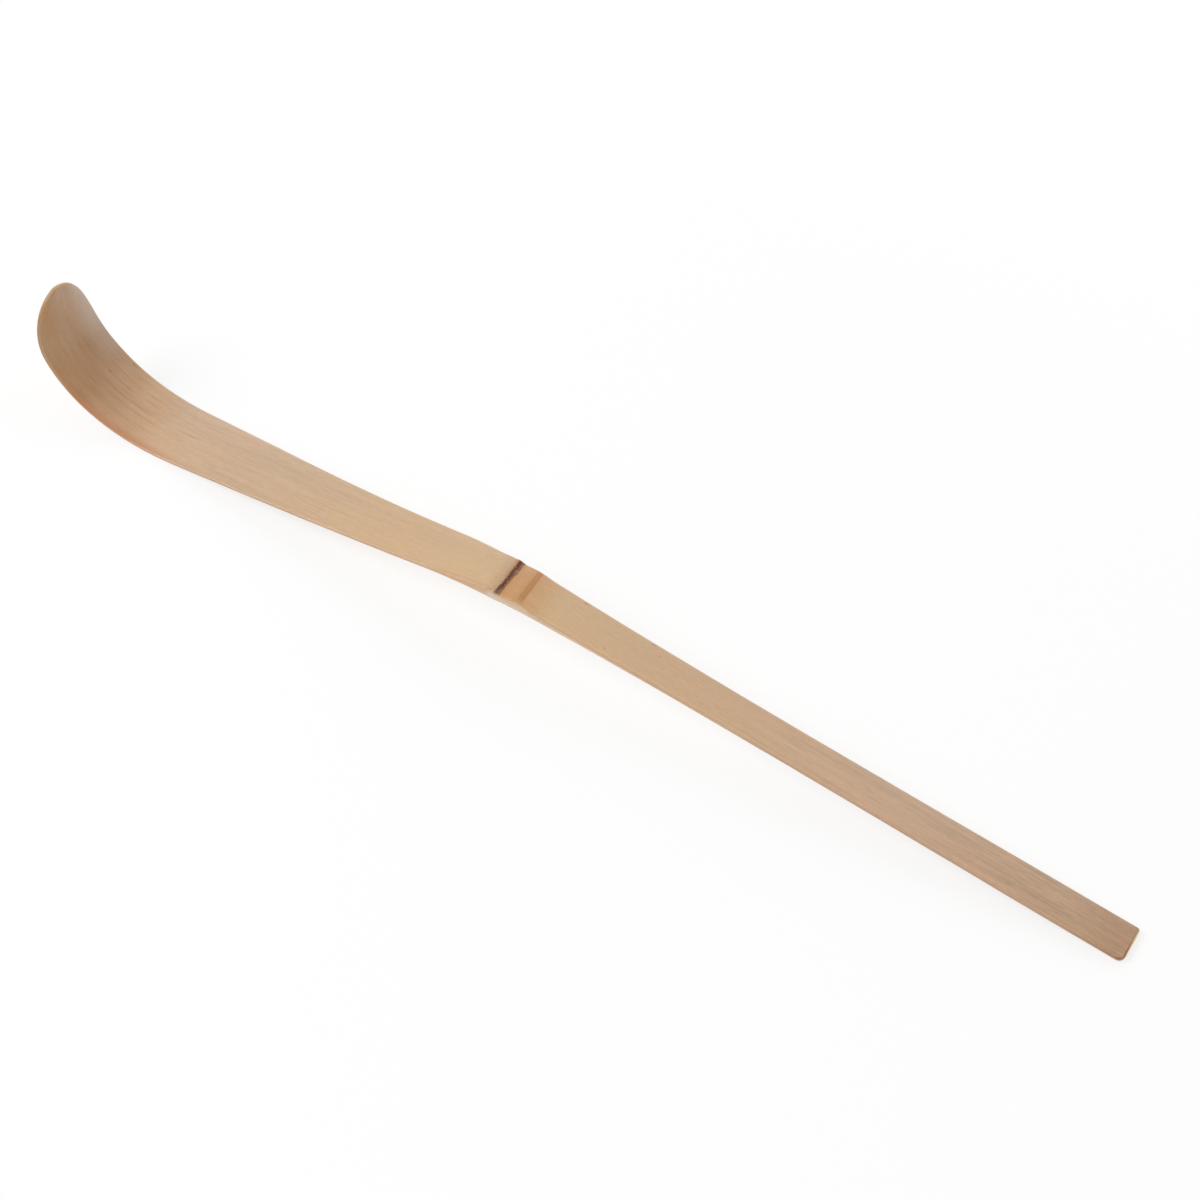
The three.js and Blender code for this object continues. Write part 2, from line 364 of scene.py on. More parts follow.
@dataclass(frozen=True)
class Place:
    """A place on the outline seen from above, and the way that the outline faces there."""

    reach: float
    across: float
    facing_along: float
    facing_across: float

    def inset(self, by: float) -> tuple[float, float]:
        """The reach and the place across, moved in from the outline."""
        return self.reach - by * self.facing_along, self.across - by * self.facing_across

    def mirrored(self) -> "Place":
        """The same place on the other side of the strip."""
        return Place(self.reach, -self.across, self.facing_along, -self.facing_across)


@dataclass(frozen=True)
class StripForm:
    """Sizes of the carved strip, in millimetres and degrees, and the rules that its shape follows."""

    length: float = 195.9
    waist_reach: float = 48.0
    ridge_reach: float = 96.5
    band_length: float = 3.9
    shoulder_length: float = 10.5
    scoop_reach: float = 18.6
    tip_length: float = 11.0
    tip_far_trim: float = 0.25
    tip_far_skew: float = 2.2

    cut_end_width: float = 5.55
    waist_width: float = 5.3
    ridge_width: float = 6.3
    scar_width: float = 6.5
    shoulder_width: float = 7.45
    scoop_width: float = 11.5
    near_corner_radius: float = 1.1
    far_corner_radius: float = 0.5

    cut_end_edge: float = 1.1
    neck_edge: float = 1.42
    node_swelling: float = 1.32
    swelling_handle_run: float = 33.8
    swelling_blade_run: float = 10.0
    blade_root_edge: float = 0.92
    tip_edge: float = 0.4
    culm_radius: float = 40.0
    arris: float = 0.15
    bevel_share: float = 0.3

    neck_turn: float = 1.15
    neck_run: float = 30.0
    neck_setback: float = 10.4
    node_turn: float = 18.3
    node_run: float = 16.0
    node_offset: float = 0.6
    blade_turn: float = 5.25
    blade_run: float = 48.2
    bend_turn: float = 107.0
    bend_run: float = 41.0
    bend_reach: float = 38.6

    ridge_rise: float = 0.3
    ridge_half_length: float = 3.0
    lip_rise: float = 0.26
    lip_length: float = 3.4

    scar_length: float = 0.95
    seat_depth: float = 0.36
    scar_clearance: float = 0.05
    scar_proud: float = 0.1

    @property
    def scar_at(self) -> float:
        """The reach of the scar's blade side."""
        return self.ridge_reach + self.band_length

    @property
    def seat_at(self) -> float:
        """The reach of the scar's handle side."""
        return self.scar_at - self.scar_length

    @property
    def shoulder_at(self) -> float:
        """The reach at which the blade has opened out."""
        return self.scar_at + self.shoulder_length

    @property
    def scoop_at(self) -> float:
        """The reach of the scoop's widest place."""
        return self.length - self.scoop_reach

    @property
    def bend_at(self) -> float:
        """The reach at which the steamed bend starts."""
        return self.length - self.bend_reach

    @property
    def cap_at(self) -> float:
        """The reach at which the rounded tip starts."""
        return self.length - self.tip_length

    def turns(self) -> tuple[Turn, ...]:
        """The turns of the strip in side view, from the cut end to the tip."""
        neck_start = self.scar_at - self.neck_setback - self.neck_run
        node_start = self.scar_at + self.node_offset - self.node_run / 2.0
        return (
            Turn("Neck", self.neck_turn, neck_start, self.neck_run),
            Turn("Node", -self.node_turn, node_start, self.node_run),
            Turn("Blade", self.blade_turn, self.scar_at, self.blade_run),
            Turn("Bend", self.bend_turn, self.bend_at, self.bend_run),
        )

    def half_width(self, reach: float) -> float:
        """Half the width, before the corners and the tip are rounded."""
        if reach < self.waist_reach:
            return mix(self.cut_end_width, self.waist_width, smooth(reach / self.waist_reach)) / 2.0
        if reach < self.ridge_reach:
            share = (reach - self.waist_reach) / (self.ridge_reach - self.waist_reach)
            return mix(self.waist_width, self.ridge_width, share**2) / 2.0
        if reach < self.scar_at:
            return mix(self.ridge_width, self.scar_width, (reach - self.ridge_reach) / self.band_length) / 2.0
        opened = smooth((reach - self.scar_at) / self.shoulder_length)
        opening = (self.shoulder_width - self.scar_width) * opened
        share = (reach - self.shoulder_at) / (self.scoop_at - self.shoulder_at)
        return (self.scar_width + opening + (self.scoop_width - self.shoulder_width) * gentle(share)) / 2.0

    def edge_thickness(self, reach: float) -> float:
        """The wall's thickness at its edges."""
        if reach < self.scar_at:
            share = np.clip(1.0 - (self.scar_at - reach) / self.swelling_handle_run, 0.0, 1.0)
            handle = mix(self.cut_end_edge, self.neck_edge, reach / self.scar_at)
            return handle + self.node_swelling * share**2
        past = (reach - self.scar_at) / (self.length - self.scar_at)
        blade = mix(self.blade_root_edge, self.tip_edge, past)
        node = self.neck_edge + self.node_swelling - self.blade_root_edge
        return blade + node * (1.0 - smooth((reach - self.scar_at) / self.swelling_blade_run))

    def crown(self, across: np.ndarray) -> np.ndarray:
        """How far the skin falls from the middle of the strip to a place across it."""
        return across**2 / (2.0 * self.culm_radius)

    def relief(self, reach: np.ndarray) -> np.ndarray:
        """The height of the node's rounded ridge and of the lip at its blade side."""
        from_crest = np.minimum(1.0, np.abs(reach - self.ridge_reach) / self.ridge_half_length)
        ridge = self.ridge_rise * (1.0 + np.cos(math.pi * from_crest)) / 2.0
        lip = self.lip_rise * (1.0 - smooth((reach - self.scar_at) / self.lip_length))
        return ridge + np.where(np.asarray(reach) < self.scar_at, 0.0, lip)

    def skin_height(self, reach: np.ndarray, across: np.ndarray) -> np.ndarray:
        """The height of the skin above the skin line."""
        return self.relief(reach) - self.crown(across)

    def depth(self, reach: float) -> float:
        """The depth of the underside below the skin line."""
        return self.edge_thickness(reach) + self.crown(self.half_width(reach))

    def corner_place(self, share: float, radius: float) -> Place:
        """A place on a rounded corner of the cut end, from the sawn face round to the side."""
        turn = share * math.pi / 2.0
        across = self.half_width(radius) - radius * (1.0 - math.sin(turn))
        return Place(radius * (1.0 - math.cos(turn)), across, -math.cos(turn), math.sin(turn))

    def side_place(self, reach: float) -> Place:
        """A place on the straight side."""
        return Place(reach, self.half_width(reach), 0.0, 1.0)

    def tip_place(self, share: float) -> Place:
        """A place on the half ellipse of the tip, from the side round to the end."""
        turn = share * math.pi / 2.0
        reach = self.cap_at + self.tip_length * math.sin(turn)
        half = self.half_width(reach)
        along, out = math.sin(turn) * half, math.cos(turn) * self.tip_length
        size = math.hypot(along, out)
        return Place(reach, half * math.cos(turn), along / size, out / size)

    def far_tip_place(self, share: float) -> Place:
        """A place on the tip's far side, which the carver has taken in a little near its end."""
        side = self.tip_place(share)
        reach, across = side.inset(self.tip_far_trim * math.sin(math.pi * share**self.tip_far_skew))
        return Place(reach, across, side.facing_along, side.facing_across)

    def inward(self, reach: np.ndarray, across: np.ndarray) -> np.ndarray:
        """About how far a place on the skin lies inside the outline."""
        half = np.array([self.half_width(r) for r in np.ravel(reach)]).reshape(np.shape(reach))
        beside = np.minimum(half - np.abs(across), reach)
        past = np.maximum(reach - self.cap_at, 0.0) / self.tip_length
        aside = across / half
        level = np.sqrt(past**2 + aside**2)
        slope = np.sqrt((past / self.tip_length) ** 2 + (aside / half) ** 2) / np.maximum(level, 1e-9)
        in_tip = (1.0 - level) / np.maximum(slope, 1e-9)
        return np.maximum(np.where(past > 0.0, in_tip, beside), 0.0)


@dataclass
class Blank:
    """Points and faces of a flat blank, with what the finish needs to know of each point."""

    points: list = field(default_factory=list)
    girths: list = field(default_factory=list)
    cuts: list = field(default_factory=list)
    faces: list = field(default_factory=list)

    def add(self, row: np.ndarray, girth: np.ndarray, cut: np.ndarray) -> int:
        """Adds a row of points: reach, across, height; how far in from the outline; how far cut.

        Returns:
            The number of the row's first point.
        """
        start = len(self.points)
        self.points.extend(row.tolist())
        self.girths.extend(np.broadcast_to(girth, len(row)).tolist())
        self.cuts.extend(np.broadcast_to(cut, len(row)).tolist())
        return start

    def tube(self, starts: Sequence[int]) -> int:
        """Joins each row to the next one with quads, right round.

        Args:
            starts: the number of each row's first point, at even steps.

        Returns:
            The number of points in a row.
        """
        count = starts[1] - starts[0]
        for first, second in zip(starts, starts[1:]):
            for i in range(count):
                j = (i + 1) % count
                self.faces.append((first + i, first + j, second + j, second + i))
        return count

    def piece(self, name: str) -> bpy.types.Object:
        """The blank as an object: one closed mesh, facing out, with points that coincide made one.

        The mesh lies in millimetres at (-reach, across, height), and carries the attributes grain
        (reach, across, height), girth and cut.
        """
        points = np.array(self.points)
        steps = np.round(points * MERGE_STEPS_PER_MILLIMETRE).astype(np.int64)
        first, place = np.unique(steps, axis=0, return_index=True, return_inverse=True)[1:]
        place = place.ravel()
        faces = []
        for face in self.faces:
            corners = list(dict.fromkeys(int(place[i]) for i in face))
            if len(corners) > 2:
                faces.append(corners)
        kept = points[first]
        mesh = bpy.data.meshes.new(name)
        mesh.from_pydata((kept * (-1.0, 1.0, 1.0)).tolist(), [], faces)
        grain = mesh.attributes.new("grain", "FLOAT_VECTOR", "POINT")
        grain.data.foreach_set("vector", kept.astype(np.float32).ravel())
        for label, values in (("girth", self.girths), ("cut", self.cuts)):
            layer = mesh.attributes.new(label, "FLOAT", "POINT")
            layer.data.foreach_set("value", np.array(values, np.float32)[first])
        form = bmesh.new()
        form.from_mesh(mesh)
        bmesh.ops.recalc_face_normals(form, faces=form.faces)
        form.to_mesh(mesh)
        form.free()
        return new_object(name, mesh)


def read_rows(items: bpy.types.bpy_prop_collection, name: str) -> np.ndarray:
    """A property of three numbers, read from every item as rows."""
    flat = np.zeros(len(items) * 3)
    items.foreach_get(name, flat)
    return flat.reshape(-1, 3)


class BentLine(Recipe):
    """Lays a flat blank along the strip's bent line."""

    LABELS = ("turn", "start", "run")

    def __init__(self, turns: Sequence[Turn]) -> None:
        """Builds the tree, with three inputs for each turn."""
        super().__init__("lay along the bent line")
        geometry = self.take(self.entry, 0)
        length = self.size("Strip length")
        count = self.size("Line steps")
        sizes = [[self.size(f"{turn.name} {label}") for label in self.LABELS] for turn in turns]
        step = length / count

        index = self.field_of("GeometryNodeInputIndex")
        angle = self.rise((index + 0.5) * step, sizes)
        run = self.join(0.0 - step * self.math("COSINE", angle), 0.0, step * self.math("SINE", angle))
        summed = self.node("GeometryNodeAccumulateField", {0: run}, data_type="FLOAT_VECTOR")
        row = self.node("GeometryNodeMeshLine", {"Count": count + 1.0}, mode="OFFSET")
        line = self.moved(self.take(row), Position=self.take(summed, "Trailing"))
        curve = self.take(self.node("GeometryNodeMeshToCurve", {"Mesh": line}))

        flat_x, across, height = self.split(self.field_of("GeometryNodeInputPosition"))
        reach = 0.0 - flat_x
        feeds = {"Curves": curve, "Length": self.math("MINIMUM", self.math("MAXIMUM", reach, 0.0), length)}
        sampled = self.node("GeometryNodeSampleCurve", feeds, mode="LENGTH", use_all_curves=False)
        along = self.split(self.take(sampled, "Position"))
        lean = self.rise(reach, sizes)
        bent_x = along[0] + height * self.math("SINE", lean)
        bent_z = along[2] + height * self.math("COSINE", lean)
        bent = self.moved(geometry, Position=self.join(bent_x, across, bent_z))
        self.finish_with(bent)

    def rise(self, reach: Signal, sizes: Sequence[Sequence[Signal]]) -> Signal:
        """The rise of the line at a reach, in radians: the sum of its eased turns."""
        total = 0.0
        for degrees, start, run in sizes:
            total = degrees * self.ease(reach, start, start + run) + total
        return self.math("RADIANS", total)


class Carving(Recipe):
    """Carves the strip's fine relief into its flat blank, then lays it along the bent line."""

    FACET_DETAIL = 0.5
    FIBRE_DETAIL = 1.0
    FIBRE_SEED_STEP = 7.0
    FIBRES_LEFT_ON_SKIN = 0.35
    GROOVE_SEED_STEP = 13.0
    GROOVE_WAVES = 0.45
    GROOVE_WANDER = 0.16

    def __init__(self, line: BentLine) -> None:
        """Builds the tree round the line's own."""
        super().__init__("carve and bend the strip")
        geometry = self.take(self.entry, 0)
        seed = self.size("Seed")
        place = self.named("grain", "FLOAT_VECTOR")
        cut = self.named("cut")
        facets = self.drawn_out("Facet", place, seed, self.FACET_DETAIL) * cut
        fibres = self.drawn_out("Fibre", place, seed + self.FIBRE_SEED_STEP, self.FIBRE_DETAIL)
        relief = facets + fibres * (cut + self.FIBRES_LEFT_ON_SKIN) + self.grooves(place, seed, cut)
        normal = self.field_of("GeometryNodeInputNormal")
        carved = self.moved(geometry, Offset=self.scaled(normal, relief))
        self.finish_with(self.nested(line, carved))

    def drawn_out(self, label: str, place: Signal, seed: Signal, detail: float) -> Signal:
        """Relief drawn out along the strip, whose length, width and depth are named by a label."""
        length, width, depth = [self.size(f"{label} {side}") for side in ("length", "width", "depth")]
        reach, across, height = self.split(place)
        spread = self.join(reach / length, across / width, height / width)
        return self.noise(spread, seed, detail) * depth

    def grooves(self, place: Signal, seed: Signal, cut: Signal) -> Signal:
        """Two fine grooves across the skin, one each side of the ridge's crest."""
        reach, across = self.split(place)[:2]
        waves = self.join(0.0, across * self.GROOVE_WAVES, 0.0)
        wander = self.noise(waves, seed + self.GROOVE_SEED_STEP, 1.0) * self.GROOVE_WANDER
        half, depth = self.size("Groove half width"), self.size("Groove depth")
        total = 0.0
        for label in ("First groove", "Second groove"):
            away = self.math("ABSOLUTE", reach + wander - self.size(label))
            total = (1.0 - self.ease(away, 0.0, half)) + total
        return total * depth * (cut - 1.0)


@dataclass(frozen=True)
class Resting:
    """How the bent strip is laid down: turned about the heel of its cut end, then moved."""

    heel: tuple[float, float]
    tilt: float
    middle: float
    floor: float

    @classmethod
    def of(cls, points: np.ndarray, grain: np.ndarray, form: StripForm) -> "Resting":
        """Finds the tilt at which the cut end's lower edge and the bend's underside are level.

        Args:
            points: the bent strip's points, in millimetres.
            grain: their flat places.
            form: the strip's sizes.

        Returns:
            The resting place.
        """
        side = points[:, [0, 2]]
        bevel = form.bevel_share * form.edge_thickness(0.0)
        end = side[grain[:, 0] < bevel + form.arris / 2.0]
        heel = end[np.argmin(end[:, 1])]
        beyond = side[side[:, 0] < -form.scar_at]
        tilt = float(np.min(np.arctan2(beyond[:, 1] - heel[1], heel[0] - beyond[:, 0])))
        turned = cls((float(heel[0]), float(heel[1])), tilt, 0.0, 0.0).placed(points) / MILLIMETRE
        middle = (turned[:, 0].min() + turned[:, 0].max()) / 2.0
        return cls((float(heel[0]), float(heel[1])), tilt, float(middle), float(turned[:, 2].min()))

    def placed(self, points: np.ndarray) -> np.ndarray:
        """Bent points in millimetres as laid down points in metres."""
        x, z = points[:, 0] - self.heel[0], points[:, 2] - self.heel[1]
        cos, sin = math.cos(self.tilt), math.sin(self.tilt)
        turned_x = self.heel[0] + x * cos - z * sin - self.middle
        turned_z = self.heel[1] + x * sin + z * cos - self.floor
        return np.stack([turned_x, points[:, 1], turned_z], axis=1) * MILLIMETRE

    def lay(self, piece: bpy.types.Object) -> None:
        """Lays a piece's own mesh down."""
        points = self.placed(read_rows(piece.data.vertices, "co"))
        piece.data.vertices.foreach_set("co", points.astype(np.float32).ravel())
        piece.data.update()


class Section(Enum):
    """Kinds of section through the strip."""

    PLAIN = "plain"
    SEAT_EDGE = "at the edge of the scar's seat"
    SEAT = "in the scar's seat"


@dataclass
class BambooStrip:
    """The carved strip: handle, node, blade and scoop in one piece."""

    form: StripForm
    skin_points: int = 40
    arris_points: int = 3
    side_points: int = 5
    bevel_points: int = 3
    corner_steps: int = 12
    tip_steps: int = 40
    handle_step: float = 0.45
    node_step: float = 0.1
    blade_step: float = 0.42
    bend_step: float = 0.32
    facet_length: float = 11.0
    facet_width: float = 2.6
    facet_depth: float = 0.045
    fibre_length: float = 14.0
    fibre_width: float = 0.34
    fibre_depth: float = 0.012
    groove_places: tuple[float, float] = (96.2, 96.9)
    groove_half_width: float = 0.28
    groove_depth: float = 0.05
    line_steps: int = 1600
    sharp_degrees: float = 50.0
    seed: float = 3.0

    def wall(self, place: Place, section: Section) -> tuple[np.ndarray, np.ndarray, np.ndarray]:
        """The section down one side, from next to the skin's edge to next to the underside's.

        Args:
            place: where the side stands on the outline.
            section: the kind of section.

        Returns:
            The points, their girth and how far they are cut.
        """
        form = self.form
        rows, girths, cuts = [], [], []
        top = form.skin_height(place.reach, place.across)
        drop = form.arris
        if section is Section.SEAT:
            top, drop = -form.seat_depth, 0.0
        for k in range(1, self.arris_points + 1):
            turn = k / (self.arris_points + 1) * math.pi / 2.0
            reach, across = place.inset(drop * (1.0 - math.sin(turn)))
            height = -form.seat_depth if section is Section.SEAT else form.skin_height(reach, across)
            rows.append((reach, across, height - drop * (1.0 - math.cos(turn))))
            girths.append(drop * (math.cos(turn) - math.sin(turn)))
            cuts.append(k / (self.arris_points + 1))
        bevel = form.bevel_share * form.edge_thickness(place.reach)
        foot = bevel - form.depth(place.reach)
        heights = np.linspace(top - drop, foot, self.side_points)
        if section is not Section.PLAIN:
            heights[1:] = np.linspace(-form.seat_depth, foot, self.side_points - 1)
        for height in heights:
            rows.append((place.reach, place.across, float(height)))
            girths.append(float(height - top))
            cuts.append(1.0)
        for k in range(1, self.bevel_points + 1):
            share = k / (self.bevel_points + 1)
            turn = share * math.pi / 2.0
            reach, across = place.inset(bevel * (share + 1.0 - math.cos(turn)) / 2.0)
            height = bevel * (1.0 - share + 1.0 - math.sin(turn)) / 2.0 - form.depth(reach)
            rows.append((reach, across, height))
            girths.append(foot - top - bevel * share)
            cuts.append(1.0)
        return np.array(rows, float), np.array(girths, float), np.array(cuts, float)

    def ring(self, blank: Blank, near: Place, far: Place, section: Section = Section.PLAIN) -> int:
        """Adds one ring of points round the strip.

        Args:
            blank: what the ring is added to.
            near: the place on the -Y side.
            far: the place on the +Y side.
            section: the kind of section.

        Returns:
            The number of the ring's first point.
        """
        form = self.form
        share = np.linspace(0.0, 1.0, self.skin_points)
        seated = section is Section.SEAT
        start, end = [np.array(side.inset(0.0 if seated else form.arris)) for side in (near, far)]
        skin = start + (end - start) * share[:, None]
        heights = form.skin_height(skin[:, 0], skin[:, 1])
        if seated:
            heights = np.full(self.skin_points, -form.seat_depth)
        first = blank.add(
            np.column_stack([skin, heights]), form.inward(skin[:, 0], skin[:, 1]), 1.0 if seated else 0.0
        )
        blank.add(*self.wall(far, section))
        bevels = [form.bevel_share * form.edge_thickness(side.reach) for side in (far, near)]
        start, end = [np.array(side.inset(bevel)) for side, bevel in zip((far, near), bevels)]
        under = start + (end - start) * share[:, None]
        depths = np.array([form.depth(reach) for reach in under[:, 0]])
        inward = form.inward(under[:, 0], under[:, 1])
        blank.add(np.column_stack([under, -depths]), -depths - inward, 1.0)
        rows, girths, cuts = self.wall(near, section)
        blank.add(rows[::-1], girths[::-1], cuts[::-1])
        return first

    def stations(self) -> list[tuple[Place, Place, Section]]:
        """The places of all rings, from the cut end to the tip, with the near side first."""
        form = self.form
        found = []
        for share in np.linspace(0.0, 1.0, self.corner_steps + 1):
            near = form.corner_place(share, form.near_corner_radius).mirrored()
            found.append((near, form.corner_place(share, form.far_corner_radius), Section.PLAIN))

        def run(start: float, end: float, step: float, section: Section = Section.PLAIN) -> None:
            """Adds even rings from start up to end, without the last."""
            count = max(1, round((end - start) / step))
            for i in range(count):
                side = form.side_place(start + (end - start) * i / count)
                found.append((side.mirrored(), side, section))

        corners_end = form.near_corner_radius + form.far_corner_radius
        ridge_start = form.ridge_reach - form.ridge_half_length
        run(corners_end, ridge_start, self.handle_step)
        run(ridge_start, form.seat_at, self.node_step)
        run(form.seat_at, form.scar_at, form.scar_length, Section.SEAT_EDGE)
        run(form.seat_at, form.scar_at, form.scar_length / self.side_points, Section.SEAT)
        end = form.side_place(form.scar_at)
        found.append((end.mirrored(), end, Section.SEAT))
        run(form.scar_at, form.scar_at + self.node_step, self.node_step, Section.SEAT_EDGE)
        run(form.scar_at + self.node_step, form.scar_at + 2.0 * form.lip_length, self.node_step)
        run(form.scar_at + 2.0 * form.lip_length, form.bend_at, self.blade_step)
        run(form.bend_at, form.cap_at, self.bend_step)
        for share in np.linspace(0.0, 1.0, self.tip_steps + 1):
            found.append((form.tip_place(share).mirrored(), form.far_tip_place(share), Section.PLAIN))
        return found

    def sawn_end(self, blank: Blank, first_ring: int, near: Place, far: Place) -> None:
        """Closes the cut end with columns of points between the skin and the underside."""
        wall_points = self.arris_points + self.side_points + self.bevel_points
        columns = []
        for i, share in enumerate(np.linspace(0.0, 1.0, self.skin_points)):
            across = mix(near.across, far.across, share)
            rows, girths, cuts = self.wall(Place(0.0, across, -1.0, 0.0), Section.PLAIN)
            start = blank.add(rows, girths, cuts)
            under = first_ring + self.skin_points + wall_points + self.skin_points - 1 - i
            columns.append([first_ring + i, *range(start, start + wall_points), under])
        for left, right in zip(columns, columns[1:]):
            for k in range(len(left) - 1):
                blank.faces.append((left[k], left[k + 1], right[k + 1], right[k]))

    def flat_blank(self) -> bpy.types.Object:
        """The strip before it is carved and bent."""
        blank = Blank()
        stations = self.stations()
        starts = [self.ring(blank, *station) for station in stations]
        blank.tube(starts)
        self.sawn_end(blank, starts[0], stations[0][0], stations[0][1])
        return blank.piece("carved_strip")

    def line_sizes(self) -> dict:
        """The named inputs of the bent line's tree."""
        sizes = {"Strip length": self.form.length, "Line steps": float(self.line_steps)}
        for turn in self.form.turns():
            values = (turn.degrees, turn.start, turn.run)
            sizes.update({f"{turn.name} {label}": value for label, value in zip(BentLine.LABELS, values)})
        return sizes

    def carving_sizes(self) -> dict:
        """The named inputs of the carving's own part of its tree."""
        return {
            "Seed": self.seed,
            "Facet length": self.facet_length,
            "Facet width": self.facet_width,
            "Facet depth": self.facet_depth,
            "Fibre length": self.fibre_length,
            "Fibre width": self.fibre_width,
            "Fibre depth": self.fibre_depth,
            "First groove": self.groove_places[0],
            "Second groove": self.groove_places[1],
            "Groove half width": self.groove_half_width,
            "Groove depth": self.groove_depth,
        }

    def build(self, line: BentLine, finish: bpy.types.Material) -> tuple[bpy.types.Object, Resting]:
        """Makes the strip, carved, bent and laid down.

        Args:
            line: the tree that bends a blank.
            finish: the strip's material.

        Returns:
            The strip, and how it was laid down.
        """
        piece = self.flat_blank()
        Carving(line).bake(piece, {**self.line_sizes(), **self.carving_sizes(), "Material": finish})
        grain = read_rows(piece.data.attributes["grain"].data, "vector")
        resting = Resting.of(read_rows(piece.data.vertices, "co"), grain, self.form)
        resting.lay(piece)
        piece.data.shade_smooth()
        piece.data.set_sharp_from_angle(angle=math.radians(self.sharp_degrees))
        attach(piece, BODY)
        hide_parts("bamboo_strip")
        return piece, resting


@dataclass
class SheathRim:
    """The ragged rim of dried sheath that clings to the node, seated across the strip."""

    form: StripForm
    columns: int = 150
    top_points: int = 14
    wall_points: int = 3
    handle_overhang: float = 0.15
    handle_lean: float = 0.05
    blade_overhang: float = 0.02
    raggedness: float = 0.07
    handle_waves: tuple[float, float, float] = (2.2, 0.7, 0.22)
    handle_second_wave: float = 0.6
    blade_waves: tuple[float, float, float] = (1.8, 0.5, 0.18)
    handle_proud: float = 0.05
    roughness: float = 0.035
    fall_slope: float = 1.15
    fall_start: float = 0.12
    fade_slope: float = 6.0
    sink: float = 0.03
    foot_height: float = 0.03
    lip_margin: float = 0.01
    sharp_degrees: float = 60.0
    seed: int = 11
    fibre_count_per_area: float = 70.0
    fibre_length: float = 0.26
    fibre_radius: float = 0.022

    def flat_blank(self) -> bpy.types.Object:
        """The rim before it is bent: a bar in its seat, with a ragged top that laps over both sides.

        Every wave is drawn, also the finest, which moves no edge, because the later draws follow on it.
        """
        form = self.form
        random = np.random.default_rng(self.seed)
        half = form.half_width(form.seat_at) - form.scar_clearance / 2.0
        across = np.linspace(-half, half, self.columns)
        waves = [self.wandering(random, across, span) for span in self.handle_waves]
        straight = form.seat_at - self.handle_overhang - self.handle_lean * across
        handle_edge = straight + self.raggedness * (waves[0] + self.handle_second_wave * waves[1])
        waves = [self.wandering(random, across, span) for span in self.blade_waves]
        blade_edge = form.scar_at + self.blade_overhang + self.raggedness * (waves[0] + waves[1]) / 2.0
        blank = Blank()
        starts = []
        for i, place in enumerate(across):
            rows = self.profile(random, float(place), float(handle_edge[i]), float(blade_edge[i]))
            starts.append(blank.add(rows, 0.0, 1.0))
        size = blank.tube(starts)
        for start in (starts[0], starts[-1]):
            loop = np.array(blank.points[start:start + size])
            middle = blank.add(loop.mean(axis=0)[None, :], 0.0, 1.0)
            for k in range(size):
                blank.faces.append((start + k, start + (k + 1) % size, middle))
        return blank.piece("sheath_rim")

    def wandering(self, random: np.random.Generator, across: np.ndarray, span: float) -> np.ndarray:
        """A wandering line from -1 to 1 that changes over about a span."""
        knots = np.arange(across[0] - span, across[-1] + 2.0 * span, span)
        values = random.uniform(-1.0, 1.0, len(knots))
        low = np.clip(((across - knots[0]) / span).astype(int), 0, len(knots) - 2)
        share = smooth((across - knots[low]) / span)
        return mix(values[low], values[low + 1], share)

    def profile(
        self, random: np.random.Generator, across: float, handle_edge: float, blade_edge: float
    ) -> np.ndarray:
        """The rim's outline in side view at one place across, as a closed row of points."""
        form = self.form
        foot = -form.seat_depth
        start, end = form.seat_at + form.scar_clearance, form.scar_at - form.scar_clearance
        sunk = foot + self.foot_height
        rows = [(start, across, foot), ((start + end) / 2.0, across, foot), (end, across, foot)]
        for share in np.linspace(0.0, 1.0, self.wall_points + 1)[1:]:
            top = form.skin_height(form.scar_at, across) - self.sink
            rows.append((end, across, mix(sunk, top, share)))
        top_reach = np.linspace(blade_edge, handle_edge, self.top_points)
        share = np.linspace(0.0, 1.0, self.top_points)
        low = form.skin_height(min(handle_edge, form.scar_at - self.lip_margin), across)
        high = form.skin_height(form.scar_at, across)
        fall = smooth(share * self.fall_slope - self.fall_start)
        body = mix(high + form.scar_proud, low + self.handle_proud, fall)
        body += self.roughness * random.uniform(-1.0, 1.0, self.top_points)
        fade = np.minimum(1.0, np.minimum(share, 1.0 - share) * self.fade_slope)
        lowest = mix(high, low, smooth(share)) - self.sink
        for reach, height in zip(top_reach, mix(lowest, body, fade)):
            rows.append((float(reach), across, float(height)))
        for share in np.linspace(1.0, 0.0, self.wall_points + 1)[:-1]:
            top = form.skin_height(form.seat_at, across) - self.sink
            rows.append((start, across, mix(sunk, top, share)))
        return np.array(rows, float)

    def build(
        self, line: BentLine, sizes: dict, resting: Resting, finish: bpy.types.Material
    ) -> bpy.types.Object:
        """Makes the rim with its frayed fibres, bent and laid down with the strip.

        Args:
            line: the tree that bends a blank.
            sizes: the named inputs of that tree.
            resting: how the strip was laid down.
            finish: the rim's material.

        Returns:
            The rim.
        """
        piece = self.flat_blank()
        own = {
            "Seed": self.seed,
            "Fibres": self.fibre_count_per_area,
            "Fibre length": self.fibre_length,
            "Fibre radius": self.fibre_radius,
        }
        Fray(line).bake(piece, {**sizes, **own, "Material": finish})
        resting.lay(piece)
        piece.data.shade_smooth()
        piece.data.set_sharp_from_angle(angle=math.radians(self.sharp_degrees))
        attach(piece, BODY)
        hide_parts("sheath_scar")
        return piece


